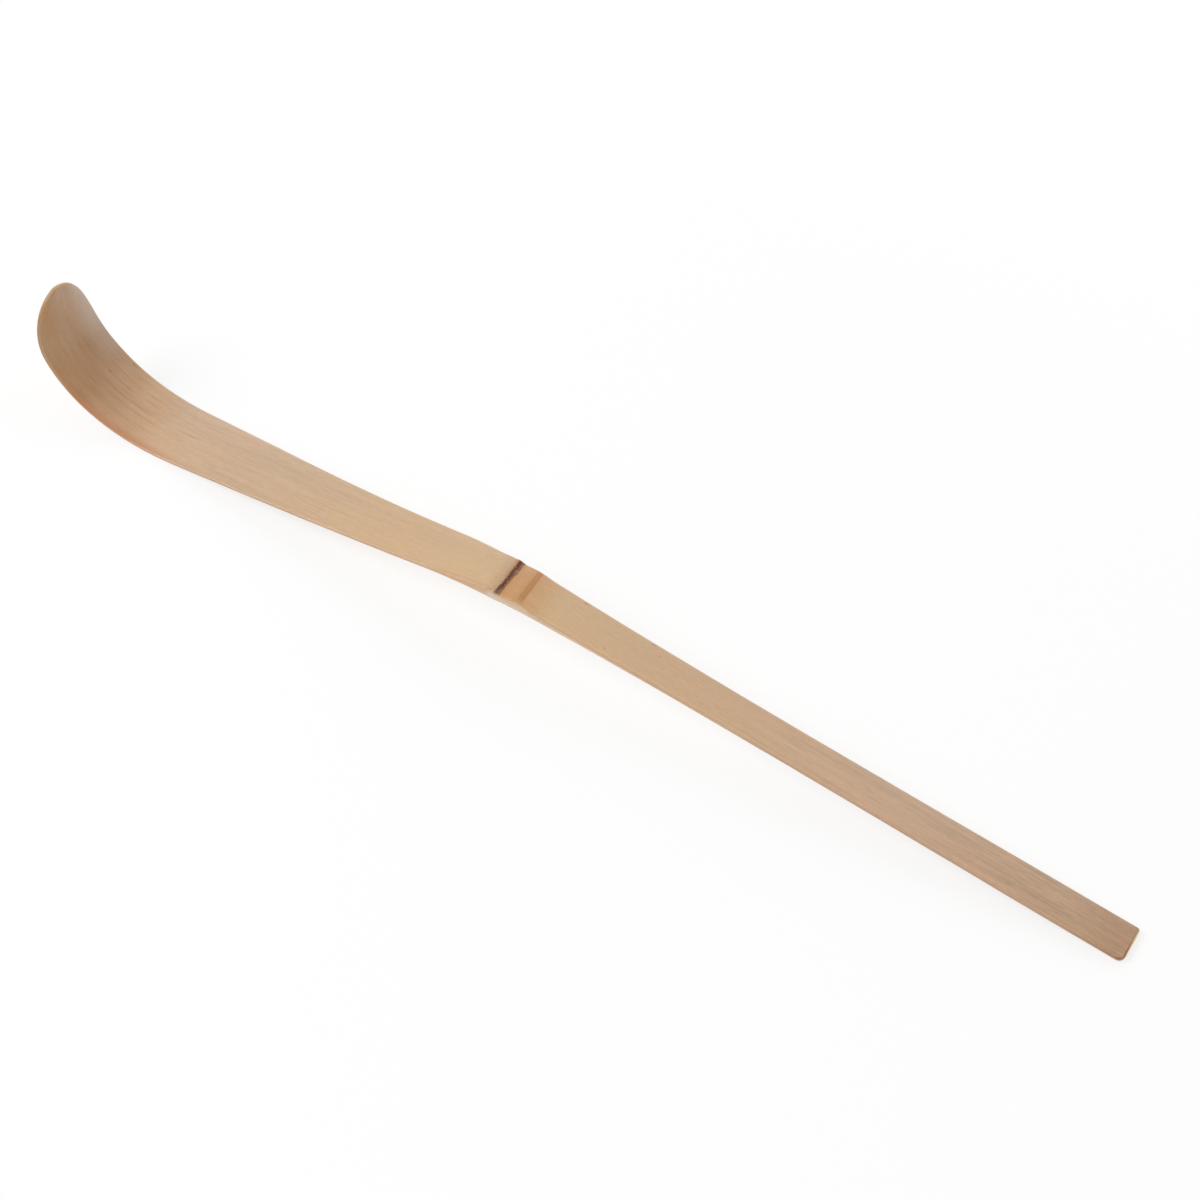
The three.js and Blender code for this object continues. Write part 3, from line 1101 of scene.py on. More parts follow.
class Fray(Recipe):
    """Scatters short broken fibres over the rim's top, then lays the rim along the bent line."""

    UPWARD_FROM = 0.2
    UPWARD_TO = 0.6
    LEAN_FROM = (-1.0, -0.5, 0.05)
    LEAN_TO = (1.0, 0.5, 0.5)
    SHORTEST = 0.35
    TIP_SHARE = 0.25

    def __init__(self, line: BentLine) -> None:
        """Builds the tree round the line's own."""
        super().__init__("fray and bend the rim")
        geometry = self.take(self.entry, 0)
        seed = self.size("Seed", "NodeSocketInt")
        density, length, radius = [self.size(name) for name in ("Fibres", "Fibre length", "Fibre radius")]
        upward = self.split(self.field_of("GeometryNodeInputNormal"))[2]
        looks_up = self.ease(upward, self.UPWARD_FROM, self.UPWARD_TO)
        feeds = {"Mesh": geometry, "Density": density * looks_up, "Seed": seed}
        scattered = self.node("GeometryNodeDistributePointsOnFaces", feeds)
        radii = {"Radius Bottom": radius, "Radius Top": radius * self.TIP_SHARE}
        cone = self.take(self.node("GeometryNodeMeshCone", {"Vertices": 4, **radii, "Depth": length}))
        feeds = {0: self.LEAN_FROM, 1: self.LEAN_TO, "Seed": seed}
        lean = self.take(self.node("FunctionNodeRandomValue", feeds, data_type="FLOAT_VECTOR"))
        turned = self.take(self.node("FunctionNodeAlignRotationToVector", {"Vector": lean}, axis="Z"))
        size = self.take(self.node("FunctionNodeRandomValue", {2: self.SHORTEST, 3: 1.0, "Seed": seed}), 1)
        stuck = self.node("GeometryNodeInstanceOnPoints", {
            "Points": self.take(scattered), "Instance": cone, "Rotation": turned,
            "Scale": self.join(1.0, 1.0, size)})
        real = self.take(self.node("GeometryNodeRealizeInstances", {"Geometry": self.take(stuck)}))
        flat_x, across, height = self.split(self.field_of("GeometryNodeInputPosition"))
        marked = self.node("GeometryNodeStoreNamedAttribute", {
            "Geometry": real, "Name": "grain", "Value": self.join(0.0 - flat_x, across, height)},
            data_type="FLOAT_VECTOR", domain="POINT")
        both = self.node("GeometryNodeJoinGeometry")
        for part in (geometry, self.take(marked)):
            self.feed(both.inputs[0], part)
        self.finish_with(self.nested(line, self.take(both)))


@dataclass(frozen=True)
class Share:
    """A share read off a signal, times a strength and on top of a base."""

    strength: float = field(default=1.0, kw_only=True)
    base: float = field(default=0.0, kw_only=True)

    def shape(self, value: Signal) -> Signal:
        """The share from 0 to 1, before its strength."""
        raise NotImplementedError

    def of(self, value: Signal) -> Signal:
        """The share at a signal's value."""
        share = self.shape(value)
        if self.strength != 1.0:
            share = share * self.strength
        return share + self.base if self.base else share


@dataclass(frozen=True)
class Fade(Share):
    """A smooth step from 0 at start to 1 at end."""

    start: float
    end: float

    def shape(self, value: Signal) -> Signal:
        """The step at a signal's value."""
        return value.wiring.ease(value, self.start, self.end)


@dataclass(frozen=True)
class Stretch(Share):
    """1 from start to end, with a soft border centred on each."""

    start: float
    end: float
    soft: float

    def shape(self, value: Signal) -> Signal:
        """The stretch at a signal's value."""
        return value.wiring.window(value, self.start, self.end, self.soft)


@dataclass(frozen=True)
class Bell(Share):
    """1 at its centre, falling to 0 half away."""

    centre: float
    half: float

    def shape(self, value: Signal) -> Signal:
        """The bell at a signal's value."""
        return value.wiring.hump(value, self.centre, self.half)


def summed(shares: Sequence[Share], value: Signal) -> Signal:
    """The sum of several shares of one signal."""
    total = shares[0].of(value)
    for share in shares[1:]:
        total = total + share.of(value)
    return total


@dataclass(frozen=True)
class Grain:
    """Noise with a number of features to a millimetre along and aside, times a size, on a level."""

    along: float
    aside: float
    seed: float
    detail: float = 2.0
    rough: float = 0.5
    size: float = 1.0
    level: float = 0.0

    def of(self, place: Signal) -> Signal:
        """The noise at a place."""
        found = place.wiring.noise(place, self.seed, self.detail, self.rough)
        if self.size != 1.0:
            found = found * self.size
        return found + self.level if self.level else found


@dataclass(frozen=True)
class Stain:
    """A small stain on the skin: its reach and place across, its half length and half width."""

    reach: float
    across: float
    half_length: float
    half_width: float
    strength: float


@dataclass(frozen=True)
class Spot:
    """Where a point lies on the flat strip, in millimetres, as signals read from its attributes."""

    wiring: Wiring
    reach: Signal
    across: Signal
    height: Signal
    girth: Signal

    @classmethod
    def read(cls, wiring: Wiring) -> "Spot":
        """Adds the nodes that read the attributes."""
        grain = wiring.take(wiring.node("ShaderNodeAttribute", attribute_name="grain"), "Vector")
        girth = wiring.take(wiring.node("ShaderNodeAttribute", attribute_name="girth"), "Fac")
        return cls(wiring, *wiring.split(grain), girth)

    def drawn(self, grain: Grain) -> Signal:
        """Noise drawn out along the fibres, right through the strip."""
        aside = (self.across * grain.aside, self.height * grain.aside)
        return grain.of(self.wiring.join(self.reach * grain.along, *aside))

    def printed(self, grain: Grain) -> Signal:
        """Noise that is alike at every height."""
        return grain.of(self.wiring.join(self.reach * grain.along, self.across * grain.aside, 0.0))


@dataclass(frozen=True)
class Patch:
    """Where a tone lies: shares of the reach, of the girth and of the place across, multiplied."""

    along: Share
    down: Optional[Share] = None
    aside: Optional[Share] = None

    def of(self, at: Spot) -> Signal:
        """The share at a point."""
        share = self.along.of(at.reach)
        for part, value in ((self.down, at.girth), (self.aside, at.across)):
            if part is not None:
                share = share * part.of(value)
        return share


@dataclass(frozen=True)
class BambooFinish:
    """Bare bamboo: satin skin on top, paler cut faces at the sides and below.

    Shares of the reach, the place across, the height and the girth are in millimetres.
    """

    form: StripForm
    tones: tuple[tuple[float, Colour], ...] = (
        (0.0, (174, 138, 107)),
        (12.0, (183, 151, 121)),
        (38.0, (196, 163, 134)),
        (66.0, (200, 167, 132)),
        (91.0, (204, 172, 133)),
        (95.0, (201, 160, 114)),
        (97.4, (198, 150, 104)),
        (99.2, (198, 147, 99)),
        (100.9, (197, 163, 127)),
        (103.5, (204, 172, 133)),
        (116.0, (202, 169, 131)),
        (150.0, (198, 168, 137)),
        (163.0, (201, 169, 137)),
        (169.0, (200, 162, 125)),
        (173.5, (189, 147, 106)),
        (177.5, (178, 132, 86)),
        (181.5, (181, 137, 94)),
        (185.5, (184, 144, 104)),
        (195.9, (180, 137, 92)),
    )
    ridge: Colour = (181, 126, 72)
    ridge_edge: Colour = (163, 109, 64)
    edge_line: Colour = (152, 88, 60)
    sawn_edge: Colour = (132, 74, 50)
    sawn_face: Colour = (246, 224, 170)
    shaded: Colour = (165, 120, 72)
    dense: Colour = (209, 162, 127)
    cream: Colour = (238, 207, 174)
    golden: Colour = (232, 187, 139)
    inner_wall: Colour = (238, 208, 170)
    bundle: Colour = (198, 154, 116)
    chalk: Colour = (232, 212, 190)
    haze: Colour = (150, 122, 100)
    brown: Colour = (134, 92, 62)
    amber: Colour = (196, 122, 80)
    rosy: Colour = (206, 158, 128)
    # Painted sheen colour: a pale grey laid on the scoop in place of a reflection.
    painted_sheen: Colour = (211, 193, 179)
    stains: tuple[Stain, ...] = (
        Stain(75.2, 1.4, 0.25, 0.14, 0.3),
        Stain(77.0, 2.5, 0.3, 0.12, 0.4),
        Stain(82.5, -2.0, 0.3, 0.1, 0.3),
        Stain(88.4, 2.6, 0.25, 0.14, 0.4),
        Stain(94.6, -2.2, 0.9, 0.12, 0.15),
        Stain(149.0, -0.05, 3.5, 0.14, 0.12),
        Stain(160.2, 0.05, 2.0, 0.15, 0.18),
        Stain(169.4, 0.05, 2.6, 0.2, 0.2),
        Stain(174.6, -0.05, 3.4, 0.2, 0.24),
        Stain(173.8, 1.45, 3.0, 0.18, 0.22),
        Stain(168.2, 1.75, 1.8, 0.16, 0.18),
        Stain(169.0, 2.8, 1.3, 0.15, 0.15),
        Stain(182.4, 0.2, 1.9, 0.18, 0.2),
        Stain(183.0, 1.5, 1.7, 0.16, 0.18),
        Stain(179.5, -1.7, 3.2, 0.16, 0.14),
        Stain(176.6, 1.4, 0.3, 0.14, 0.6),
        Stain(174.5, 5.2, 0.5, 0.2, 0.4),
    )

    touch: Touch = Touch(gloss=0.6, bump_strength=0.35, bump_height=0.00004)
    skin_rough: float = 0.24
    wall_rough: float = 0.26
    rough_shares: tuple[float, float] = (0.05, 0.04)
    bump_shares: tuple[float, float] = (0.6, 0.4)
    streak_grains: tuple[Grain, Grain, Grain] = (
        Grain(0.12, 3.0, 1.0, 3.0, 0.6),
        Grain(0.3, 8.0, 5.0),
        Grain(0.03, 1.3, 2.0),
    )
    streak_shares: tuple[float, float, float] = (0.3, 0.1, 0.14)
    dark_fibres: Share = Fade(0.06, 0.3, strength=0.06)
    wall_starts: Share = Fade(0.04, -0.12)
    wall_wrap: Patch = Patch(Stretch(97.2, 99.6, 0.8, strength=0.1), aside=Fade(-1.0, -2.0))

    lined: tuple[Share, ...] = (
        Fade(68.0, 46.0, strength=0.75, base=0.25),
        Fade(117.0, 134.0, strength=0.45),
        Stretch(9.0, 27.0, 4.0, strength=0.45),
        Fade(182.0, 188.0, strength=-0.35),
    )
    short_marks: Grain = Grain(0.8, 3.2, 6.0, 3.0, 0.6)
    marked: Share = Fade(34.0, 20.0, strength=0.1, base=0.12)
    # Painted light across the skin: the near side lighter, and in the bend the far side lighter.
    painted_light_across: Share = Fade(2.8, -2.8, base=-0.5)
    painted_light_along: Share = Stretch(167.5, 177.0, 7.0, strength=-0.2, base=0.1)
    blotches: Grain = Grain(0.3, 0.8, 8.0)
    blotched: Share = Fade(168.0, 178.0, strength=0.1)
    patches: Grain = Grain(0.07, 0.35, 3.0)
    patch_share: float = 0.03
    rosy_patches: Share = Fade(-0.1, 0.5, strength=0.25)
    # Painted sheen: a pale grey tint over the scoop's far side and by the tip's near edge.
    painted_sheen_far: Patch = Patch(Fade(174.0, 186.0), aside=Fade(0.8, 5.4, strength=0.58))
    painted_sheen_near: Patch = Patch(Fade(182.0, 188.0), aside=Fade(-2.4, -4.8, strength=0.13))
    stain_share: Share = Fade(1.7, 0.1)
    stain_breaks: Grain = Grain(0.9, 4.0, 9.0, size=2.0, level=0.9)
    stain_breaks_from: float = 1.0
    steamed_edge: Patch = Patch(Stretch(161.0, 180.0, 9.0), Fade(1.5, 0.2), Fade(-2.0, -3.5, strength=0.5))

    mark_wander: Grain = Grain(0.0, 0.45, 16.0, 1.0, size=0.12)
    mark_breaks: Grain = Grain(1.0, 1.4, 17.0, size=0.5, level=0.6)
    mark_whole: Share = Fade(-3.0, -1.9, strength=0.8, base=0.2)
    mark: Share = Stretch(95.9, 96.88, 0.32, strength=0.8)
    mark_borders: tuple[Share, ...] = (Bell(96.12, 0.15), Bell(96.72, 0.15))
    borders_far: Share = Fade(-1.5, 2.5, strength=0.4, base=0.5)
    crumb_grain: Grain = Grain(4.5, 4.5, 18.0, 2.0, 0.6)
    crumbs: Share = Fade(0.0, 0.45)
    crumbs_lie: Share = Stretch(100.1, 101.5, 1.0, strength=0.55)

    dense_lift: float = 1.2
    dense_share: float = 0.7
    root: Share = Stretch(101.8, 109.0, 1.4)
    root_golden: float = 0.7
    root_hides_depth: float = 0.9
    deep: Share = Fade(-0.2, -1.35)
    handle_foot: Patch = Patch(Stretch(4.0, 58.0, 6.0, strength=0.5), Fade(-0.35, -0.75))
    under_node: Patch = Patch(Stretch(94.6, 99.9, 0.8, strength=0.6), Stretch(-0.75, -0.12, 0.24))
    before_node: Patch = Patch(Stretch(86.5, 94.6, 1.5, strength=0.28), Stretch(-1.1, -0.35, 0.3))
    blade_light: tuple[Share, ...] = (
        Stretch(109.0, 134.0, 3.0, strength=0.1, base=1.0),
        Stretch(109.5, 117.0, 2.0, strength=0.03),
    )
    inner: Share = Fade(-0.9, -1.8, strength=0.5)
    bundles_along: float = 0.02
    bundles_aside: float = 2.6
    bundles: Share = Fade(0.36, 0.1, strength=0.32)
    chalky: Patch = Patch(
        Stretch(99.4, 101.5, 0.6, strength=0.5), Stretch(-2.2, -0.11, 0.34), Fade(-1.0, -2.0)
    )
    # At the tip the thin wall takes the skin's tone, scaled darker as painted shade on a wall that faces the
    # lamp.
    thin: Share = Fade(180.0, 187.0)
    thin_share: float = 0.9
    tip_wall_painted_shade: float = 0.88
    thin_foot: Share = Fade(-0.3, -0.44, strength=0.14)
    wall_streaks: float = 0.8

    # Painted highlight: the skin lightened along the near arris, and by the tip's far edge.
    painted_near_highlight: tuple[Share, ...] = (
        Stretch(4.0, 93.0, 4.0, strength=0.09),
        Stretch(179.0, 195.0, 4.0, strength=0.15),
        Stretch(1.2, 12.0, 1.6, strength=0.08),
        Stretch(181.5, 187.5, 4.0, strength=0.08),
    )
    painted_near_highlight_edge: Share = Bell(0.14, 0.36)
    painted_near_highlight_side: Share = Fade(-1.0, -2.0)
    painted_far_highlight: Patch = Patch(Stretch(186.0, 195.0, 5.0), Bell(0.4, 0.4), Fade(0.8, 2.2, strength=0.07))
    line_breaks: Grain = Grain(0.3, 0.2, 21.0, size=0.4, level=0.7)
    line_reach: tuple[Share, ...] = (
        Fade(16.0, 3.0, strength=0.7475, base=0.03),
        Fade(60.0, 8.0, strength=0.1725),
    )
    line_edge: Share = Bell(-0.27, 0.28)
    line_side: Share = Fade(0.0, -1.0)
    browned_corner: Patch = Patch(Fade(5.5, 1.2, strength=0.32), Bell(-0.2, 0.5), Fade(-1.0, -2.2))
    root_edge: Patch = Patch(Stretch(101.6, 110.0, 3.0, strength=0.2), Bell(0.22, 0.55), Fade(-1.5, -2.5))
    dusty_edge: Patch = Patch(Stretch(100.2, 101.7, 0.4, strength=0.4), Bell(0.08, 0.28), Fade(-1.5, -2.5))
    sawn_inset: Share = Fade(0.15, 1.1, strength=0.42)
    sawn_line: Share = Bell(0.3, 0.26)
    sawn_line_reach: Share = Fade(1.6, 0.5)
    sawn_line_side: Share = Fade(1.4, -2.2, strength=0.85, base=0.3)
    sawn: Share = Fade(0.22, 0.08, strength=0.9)

    def material(self) -> bpy.types.Material:
        """Builds the material."""
        made, wiring = new_material("bare_bamboo")
        at = Spot.read(wiring)
        fibre, fine, broad = [at.drawn(grain) for grain in self.streak_grains]
        much, some, little = self.streak_shares
        streaks = fibre * much + fine * some + broad * little - self.dark_fibres.of(fibre)
        base = wiring.ramp(at.reach / self.form.length, [(s / self.form.length, c) for s, c in self.tones])
        skin = self.skin(at, base, streaks)
        carved = self.carved(at, base, streaks)
        walled = self.wall_starts.of(at.girth + self.wall_wrap.of(at))
        colour = self.edges(at, wiring.tint(walled, skin, carved))
        rough = fibre * self.rough_shares[0] + broad * self.rough_shares[1]
        rough = rough + walled * self.wall_rough + self.skin_rough
        relief = fibre * self.bump_shares[0] + fine * self.bump_shares[1]
        wiring.dress(colour, rough, relief, self.touch)
        return made

    def skin(self, at: Spot, base: Signal, streaks: Signal) -> Signal:
        """The colour of the skin on top.

        Args:
            at: where the point lies.
            base: the tone along the strip.
            streaks: the streaks' own light and dark, about 0.

        Returns:
            The colour.
        """
        wiring = at.wiring
        patch = at.drawn(self.patches)
        marks = at.drawn(self.short_marks) * self.marked.of(at.reach)
        blotch = at.drawn(self.blotches) * self.blotched.of(at.reach)
        # Painted light: the near side of the skin lighter, and the far side lighter in the bend.
        sides = self.painted_light_across.of(at.across) * self.painted_light_along.of(at.reach)
        light = streaks * summed(self.lined, at.reach) + marks + blotch + patch * self.patch_share + sides
        colour = wiring.scaled(base, light + 1.0)
        # Painted sheen: the scoop's far side and the tip's near edge tinted pale grey.
        colour = wiring.tint(self.painted_sheen_far.of(at) + self.painted_sheen_near.of(at), colour, self.painted_sheen)
        colour = wiring.tint(self.rosy_patches.of(patch), colour, self.rosy)
        colour = self.node_marks(at, colour)
        for stain in self.stains:
            along = (at.reach - stain.reach) / stain.half_length
            aside = (at.across - stain.across) / stain.half_width
            share = self.stain_share.of(along * along + aside * aside)
            broken = 1.0 if stain.half_length < self.stain_breaks_from else at.drawn(self.stain_breaks)
            colour = wiring.tint(share * broken * stain.strength, colour, self.brown)
        return wiring.tint(self.steamed_edge.of(at), colour, self.amber)

    def node_marks(self, at: Spot, colour: Signal) -> Signal:
        """The soft double line over the ridge, and the dust of sheath on the blade side of the scar."""
        wiring = at.wiring
        line = at.reach + at.printed(self.mark_wander)
        whole = self.mark_whole.of(at.across)
        colour = wiring.tint(self.mark.of(line) * whole, colour, self.ridge)
        borders = summed(self.mark_borders, line) * at.printed(self.mark_breaks)
        colour = wiring.tint(borders * whole * self.borders_far.of(at.across), colour, self.ridge_edge)
        dust = self.crumbs.of(at.drawn(self.crumb_grain)) * self.crumbs_lie.of(at.reach)
        return wiring.tint(dust, colour, self.haze)

    def carved(self, at: Spot, base: Signal, streaks: Signal) -> Signal:
        """The colour of the cut faces, from dense wood under the skin to paler wood within.

        Args:
            at: where the point lies.
            base: the tone along the strip.
            streaks: the streaks' own light and dark, about 0.

        Returns:
            The colour.
        """
        wiring = at.wiring
        root = self.root.of(at.reach)
        deep = self.deep.of(at.girth) * (1.0 - root * self.root_hides_depth)
        colour = wiring.tint(self.dense_share, wiring.scaled(base, self.dense_lift), self.dense)
        colour = wiring.tint(deep, colour, self.cream)
        colour = wiring.tint(self.handle_foot.of(at), colour, self.shaded)
        colour = wiring.tint(self.under_node.of(at) + self.before_node.of(at), colour, self.cream)
        colour = wiring.tint(root * self.root_golden, colour, self.golden)
        colour = wiring.scaled(colour, summed(self.blade_light, at.reach))
        colour = wiring.tint(self.inner.of(at.height), colour, self.inner_wall)
        aside = (at.across * self.bundles_aside, at.height * self.bundles_aside)
        bundles = self.bundles.of(wiring.cells(wiring.join(at.reach * self.bundles_along, *aside)))
        colour = wiring.tint(bundles, colour, self.bundle)
        colour = wiring.tint(self.chalky.of(at), colour, self.chalk)
        # The tip's thin wall takes the skin's tone, darkened as painted shade against the lamp's light on it.
        thin = self.thin.of(at.reach)
        colour = wiring.tint(thin * self.thin_share, colour, wiring.scaled(base, self.tip_wall_painted_shade))
        colour = wiring.tint(thin * self.thin_foot.of(at.girth), colour, self.sawn_face)
        return wiring.scaled(colour, streaks * self.wall_streaks + 1.0)

    def edges(self, at: Spot, colour: Signal) -> Signal:
        """The painted highlight and the thin browned line along the arris, and the tones round the sawn end.
        """
        wiring = at.wiring
        # Painted highlight along the near arris and on the skin by the tip's far edge.
        near = self.painted_near_highlight_edge.of(at.girth) * self.painted_near_highlight_side.of(at.across)
        light = summed(self.painted_near_highlight, at.reach) * near + self.painted_far_highlight.of(at)
        colour = wiring.scaled(colour, light + 1.0)
        line = self.line_edge.of(at.girth) * self.line_side.of(at.across) * at.drawn(self.line_breaks)
        line = line * summed(self.line_reach, at.reach) + self.browned_corner.of(at)
        colour = wiring.tint(line, colour, self.edge_line)
        colour = wiring.tint(self.root_edge.of(at), colour, self.amber)
        colour = wiring.tint(self.dusty_edge.of(at), colour, self.haze)
        inside = at.girth + self.sawn_inset.of(at.reach)
        around = self.sawn_line.of(inside) * self.sawn_line_reach.of(at.reach)
        colour = wiring.tint(around * self.sawn_line_side.of(at.across), colour, self.sawn_edge)
        return wiring.tint(self.sawn.of(at.reach), colour, self.sawn_face)


@dataclass(frozen=True)
class SheathFinish:
    """Dried sheath: dark brown and matt, paler at the handle's side, speckled all over."""

    dark: Colour = (126, 86, 65)
    fibrous: Colour = (170, 130, 98)
    lip: Colour = (182, 124, 88)
    skin: Colour = (205, 168, 136)
    red: Colour = (128, 68, 50)
    pale: Colour = (190, 160, 132)
    foot: Colour = (222, 194, 160)

    touch: Touch = Touch(gloss=0.25, bump_strength=0.6, bump_height=0.00006)
    rough: float = 0.8
    fleck_rough: float = 0.06
    fleck_share: float = 0.3
    flecks: Grain = Grain(7.0, 9.0, 5.0, 2.0, 0.7)
    speck_grain: Grain = Grain(2.2, 2.6, 12.0, 1.0)
    specks: Share = Fade(0.1, 0.4, strength=0.6)
    slope: float = 0.05
    wander: Grain = Grain(1.0, 1.2, 4.0, size=0.14)
    ends: Share = Fade(1.9, 2.8)
    handle_setback: float = 0.16
    blade_setback: float = 0.1
    handle_side: Share = Fade(99.76, 99.4, strength=0.9)
    far_half: Share = Fade(-0.4, 1.0)
    red_line: Share = Stretch(99.86, 100.24, 0.16, strength=0.7)
    lip_side: Share = Fade(100.3, 100.1)
    blade_side: Share = Fade(99.96, 100.12)
    near_end: Share = Fade(-2.2, -3.0, strength=0.16)
    cut_height: Share = Fade(-0.13, -0.2, strength=0.9)
    cut_side: Share = Fade(-2.6, -3.1)

    def material(self) -> bpy.types.Material:
        """Builds the material."""
        made, wiring = new_material("dried_sheath")
        at = Spot.read(wiring)
        ends = self.ends.of(wiring.math("ABSOLUTE", at.across))
        line = at.reach + at.across * self.slope + at.drawn(self.wander)
        fibrous = self.handle_side.of(line - ends * self.handle_setback)
        colour = wiring.tint(fibrous, self.dark, self.fibrous)
        far_half = self.far_half.of(at.across)
        colour = wiring.tint(self.red_line.of(line) * far_half, colour, self.red)
        blade_line = line - ends * self.blade_setback
        edge = wiring.tint(far_half * self.lip_side.of(blade_line), self.skin, self.lip)
        colour = wiring.tint(self.blade_side.of(blade_line), colour, edge)
        flecks = at.drawn(self.flecks)
        colour = wiring.tint(self.specks.of(at.drawn(self.speck_grain)), colour, self.pale)
        colour = wiring.tint(self.near_end.of(at.across), colour, self.foot)
        colour = wiring.scaled(colour, flecks * self.fleck_share + 1.0)
        cut_through = self.cut_height.of(at.height) * self.cut_side.of(at.across)
        colour = wiring.tint(cut_through, colour, self.foot)
        wiring.dress(colour, flecks * self.fleck_rough + self.rough, flecks, self.touch)
        return made


@dataclass(frozen=True)
class Viewpoint:
    """Where the photograph was taken from, in millimetres and degrees."""

    aim: tuple[float, float, float] = (0.545, 8.947, 0.0)
    distance: float = 324.69
    azimuth: float = 32.061
    elevation: float = 58.0
    lens: float = 66.0
    sensor: float = 36.0
    nearest: float = 10.0

    def build(self) -> None:
        """Makes the camera and gives it to the scene."""
        data = bpy.data.cameras.new("camera")
        data.lens = self.lens
        data.sensor_width = self.sensor
        data.clip_start = self.nearest * MILLIMETRE
        camera = new_object("camera", data)
        turn, lift = math.radians(self.azimuth), math.radians(self.elevation)
        back = Vector((math.sin(turn) * math.cos(lift), -math.cos(turn) * math.cos(lift), math.sin(lift)))
        camera.location = (Vector(self.aim) + back * self.distance) * MILLIMETRE
        camera.rotation_mode = "QUATERNION"
        camera.rotation_quaternion = (-back).to_track_quat("-Z", "Y")
        bpy.context.scene.camera = camera


@dataclass(frozen=True)
class SoftLamp:
    """A soft lamp turned to the scoop, in metres, and what it adds on a surface that faces up."""

    name: str
    level: float
    towards: tuple[float, float, float]
    distance: float
    width: float
    height: float

    def build(self) -> None:
        """Makes the lamp."""
        towards = Vector(self.towards).normalized()
        data = bpy.data.lights.new(self.name, "AREA")
        data.shape = "RECTANGLE"
        data.size = self.width
        data.size_y = self.height
        data.energy = self.level * (math.pi * self.distance) ** 2 / towards.z
        made = new_object(self.name, data)
        made.location = towards * self.distance
        made.rotation_mode = "QUATERNION"
        made.rotation_quaternion = towards.to_track_quat("Z", "Y")
        made.visible_camera = False


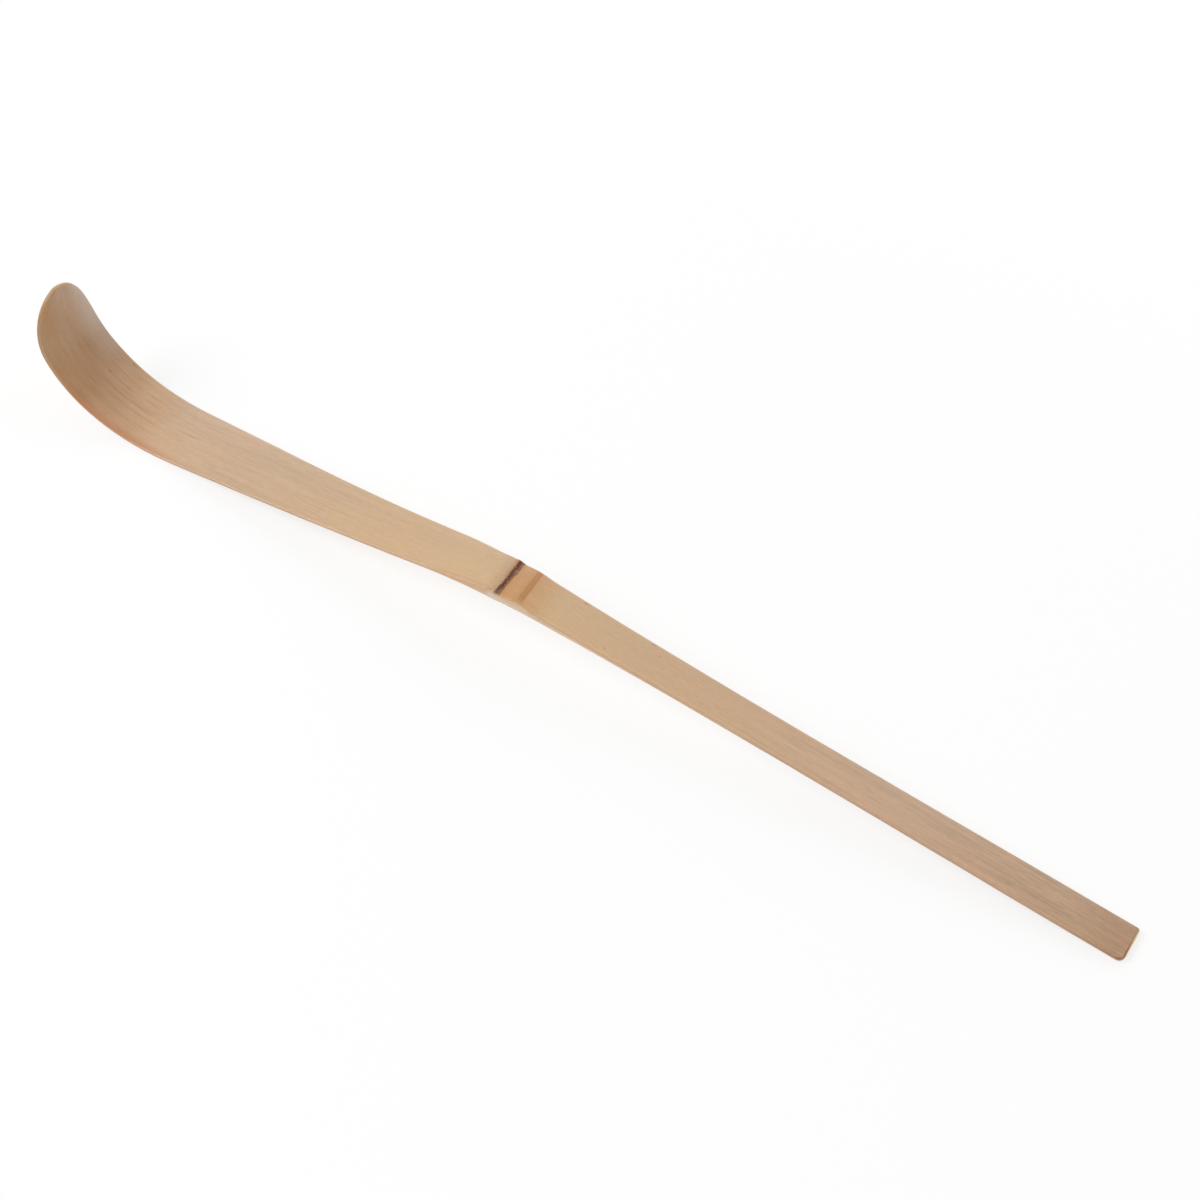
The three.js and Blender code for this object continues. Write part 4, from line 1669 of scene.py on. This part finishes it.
@dataclass(frozen=True)
class Studio:
    """A pale floor, a white surround with a darker part overhead, and two soft lamps."""

    floor_half: float = 3.0
    floor_drop: float = 0.00002
    floor_colour: tuple[float, float, float, float] = (0.8, 0.8, 0.8, 1.0)
    floor_glow: float = 0.72
    floor_squeeze: float = 0.4
    shadow_reach: float = 0.05
    white_reach: float = 0.14
    surround: float = 0.5
    overhead: float = 0.2
    overhead_towards: tuple[float, float, float] = (-0.3, -0.1, 0.95)
    overhead_angles: tuple[float, float] = (23.0, 38.0)
    lamps: tuple[SoftLamp, ...] = (
        SoftLamp("front_lamp", 0.38, (-0.55, -0.35, 0.8), 1.1, 0.6, 0.6),
        SoftLamp("back_lamp", 0.26, (0.1, 0.86, 0.46), 1.2, 2.8, 1.15),
    )

    @staticmethod
    def looked_at(wiring: Wiring) -> Signal:
        """1 where the camera, gloss or glass looks, and 0 for the light that falls on things."""
        path = wiring.node("ShaderNodeLightPath")
        rays = [wiring.take(path, f"Is {kind} Ray") for kind in ("Camera", "Glossy", "Transmission")]
        return wiring.math("MAXIMUM", wiring.math("MAXIMUM", rays[0], rays[1]), rays[2])

    def floor(self) -> None:
        """The floor, which keeps the scoop's shadow and is seen white away from it."""
        half = self.floor_half
        corners = [(-half, -half), (half, -half), (half, half), (-half, half)]
        mesh = bpy.data.meshes.new("floor")
        mesh.from_pydata([(x, y, -self.floor_drop) for x, y in corners], [], [(0, 1, 2, 3)])
        made = new_object("floor", mesh)
        material, wiring = new_material("pale_floor")
        seen = self.looked_at(wiring)
        colour = wiring.tint(seen, self.floor_colour, WHITE)
        matt = wiring.take(wiring.node("ShaderNodeBsdfDiffuse", {"Color": colour}))
        glow = wiring.take(wiring.node("ShaderNodeEmission", {"Color": WHITE, "Strength": 1.0}))
        x, y = wiring.split(wiring.take(wiring.node("ShaderNodeTexCoord"), "Object"))[:2]
        squeezed = wiring.join(x * self.floor_squeeze, y, 0.0)
        away = wiring.take(wiring.node("ShaderNodeVectorMath", {0: squeezed}, operation="LENGTH"), "Value")
        white = wiring.ease(away, self.shadow_reach, self.white_reach)
        white = white * (1.0 - self.floor_glow) + self.floor_glow
        wiring.end_with(wiring.node("ShaderNodeMixShader", {0: seen * white, 1: matt, 2: glow}))
        mesh.materials.append(material)
        made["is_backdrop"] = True

    def world(self) -> None:
        """A surround at a plain level, which the camera and gloss see white, but for a part overhead."""
        world = bpy.data.worlds.new("white_surround")
        world.use_nodes = True
        world.node_tree.nodes.clear()
        wiring = Wiring(world.node_tree)
        seen = self.looked_at(wiring)
        direction = wiring.take(wiring.node("ShaderNodeTexCoord"), "Generated")
        feeds = {0: direction, 1: tuple(Vector(self.overhead_towards).normalized())}
        facing = wiring.take(wiring.node("ShaderNodeVectorMath", feeds, operation="DOT_PRODUCT"), "Value")
        dark, white = [math.cos(math.radians(angle)) for angle in self.overhead_angles]
        level = wiring.ease(facing, dark, white) * (1.0 - self.overhead) + self.overhead
        strength = seen * (level - self.surround) + self.surround
        glow = wiring.node("ShaderNodeBackground", {"Color": WHITE, "Strength": strength})
        wiring.end_with(glow, "ShaderNodeOutputWorld")
        bpy.context.scene.world = world

    def build(self) -> None:
        """Sets up the studio and the view's plain transform."""
        self.floor()
        self.world()
        for lamp in self.lamps:
            lamp.build()
        bpy.context.scene.view_settings.view_transform = "Standard"


def write_sizes() -> None:
    """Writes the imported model's box and the finished model's box."""
    low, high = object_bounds()
    for label, box in (("packed", (cad_low, cad_high)), ("visual", (low, high))):
        log.info("%s box %s to %s", label, *[[round(v / MILLIMETRE, 3) for v in corner] for corner in box])


def main() -> None:
    """Builds the scoop, its studio and its camera."""
    logging.basicConfig(level=logging.INFO, format="%(name)s: %(message)s")
    form = StripForm()
    Viewpoint().build()
    Studio().build()
    line = BentLine(form.turns())
    strip = BambooStrip(form)
    carved, resting = strip.build(line, BambooFinish(form).material())
    log.info("%s: %d faces, laid down at a tilt of %.3f degrees",
             carved.name, len(carved.data.polygons), math.degrees(resting.tilt))
    rim = SheathRim(form).build(line, strip.line_sizes(), resting, SheathFinish().material())
    log.info("%s: %d faces", rim.name, len(rim.data.polygons))
    write_sizes()


if __name__ == "__main__":
    main()
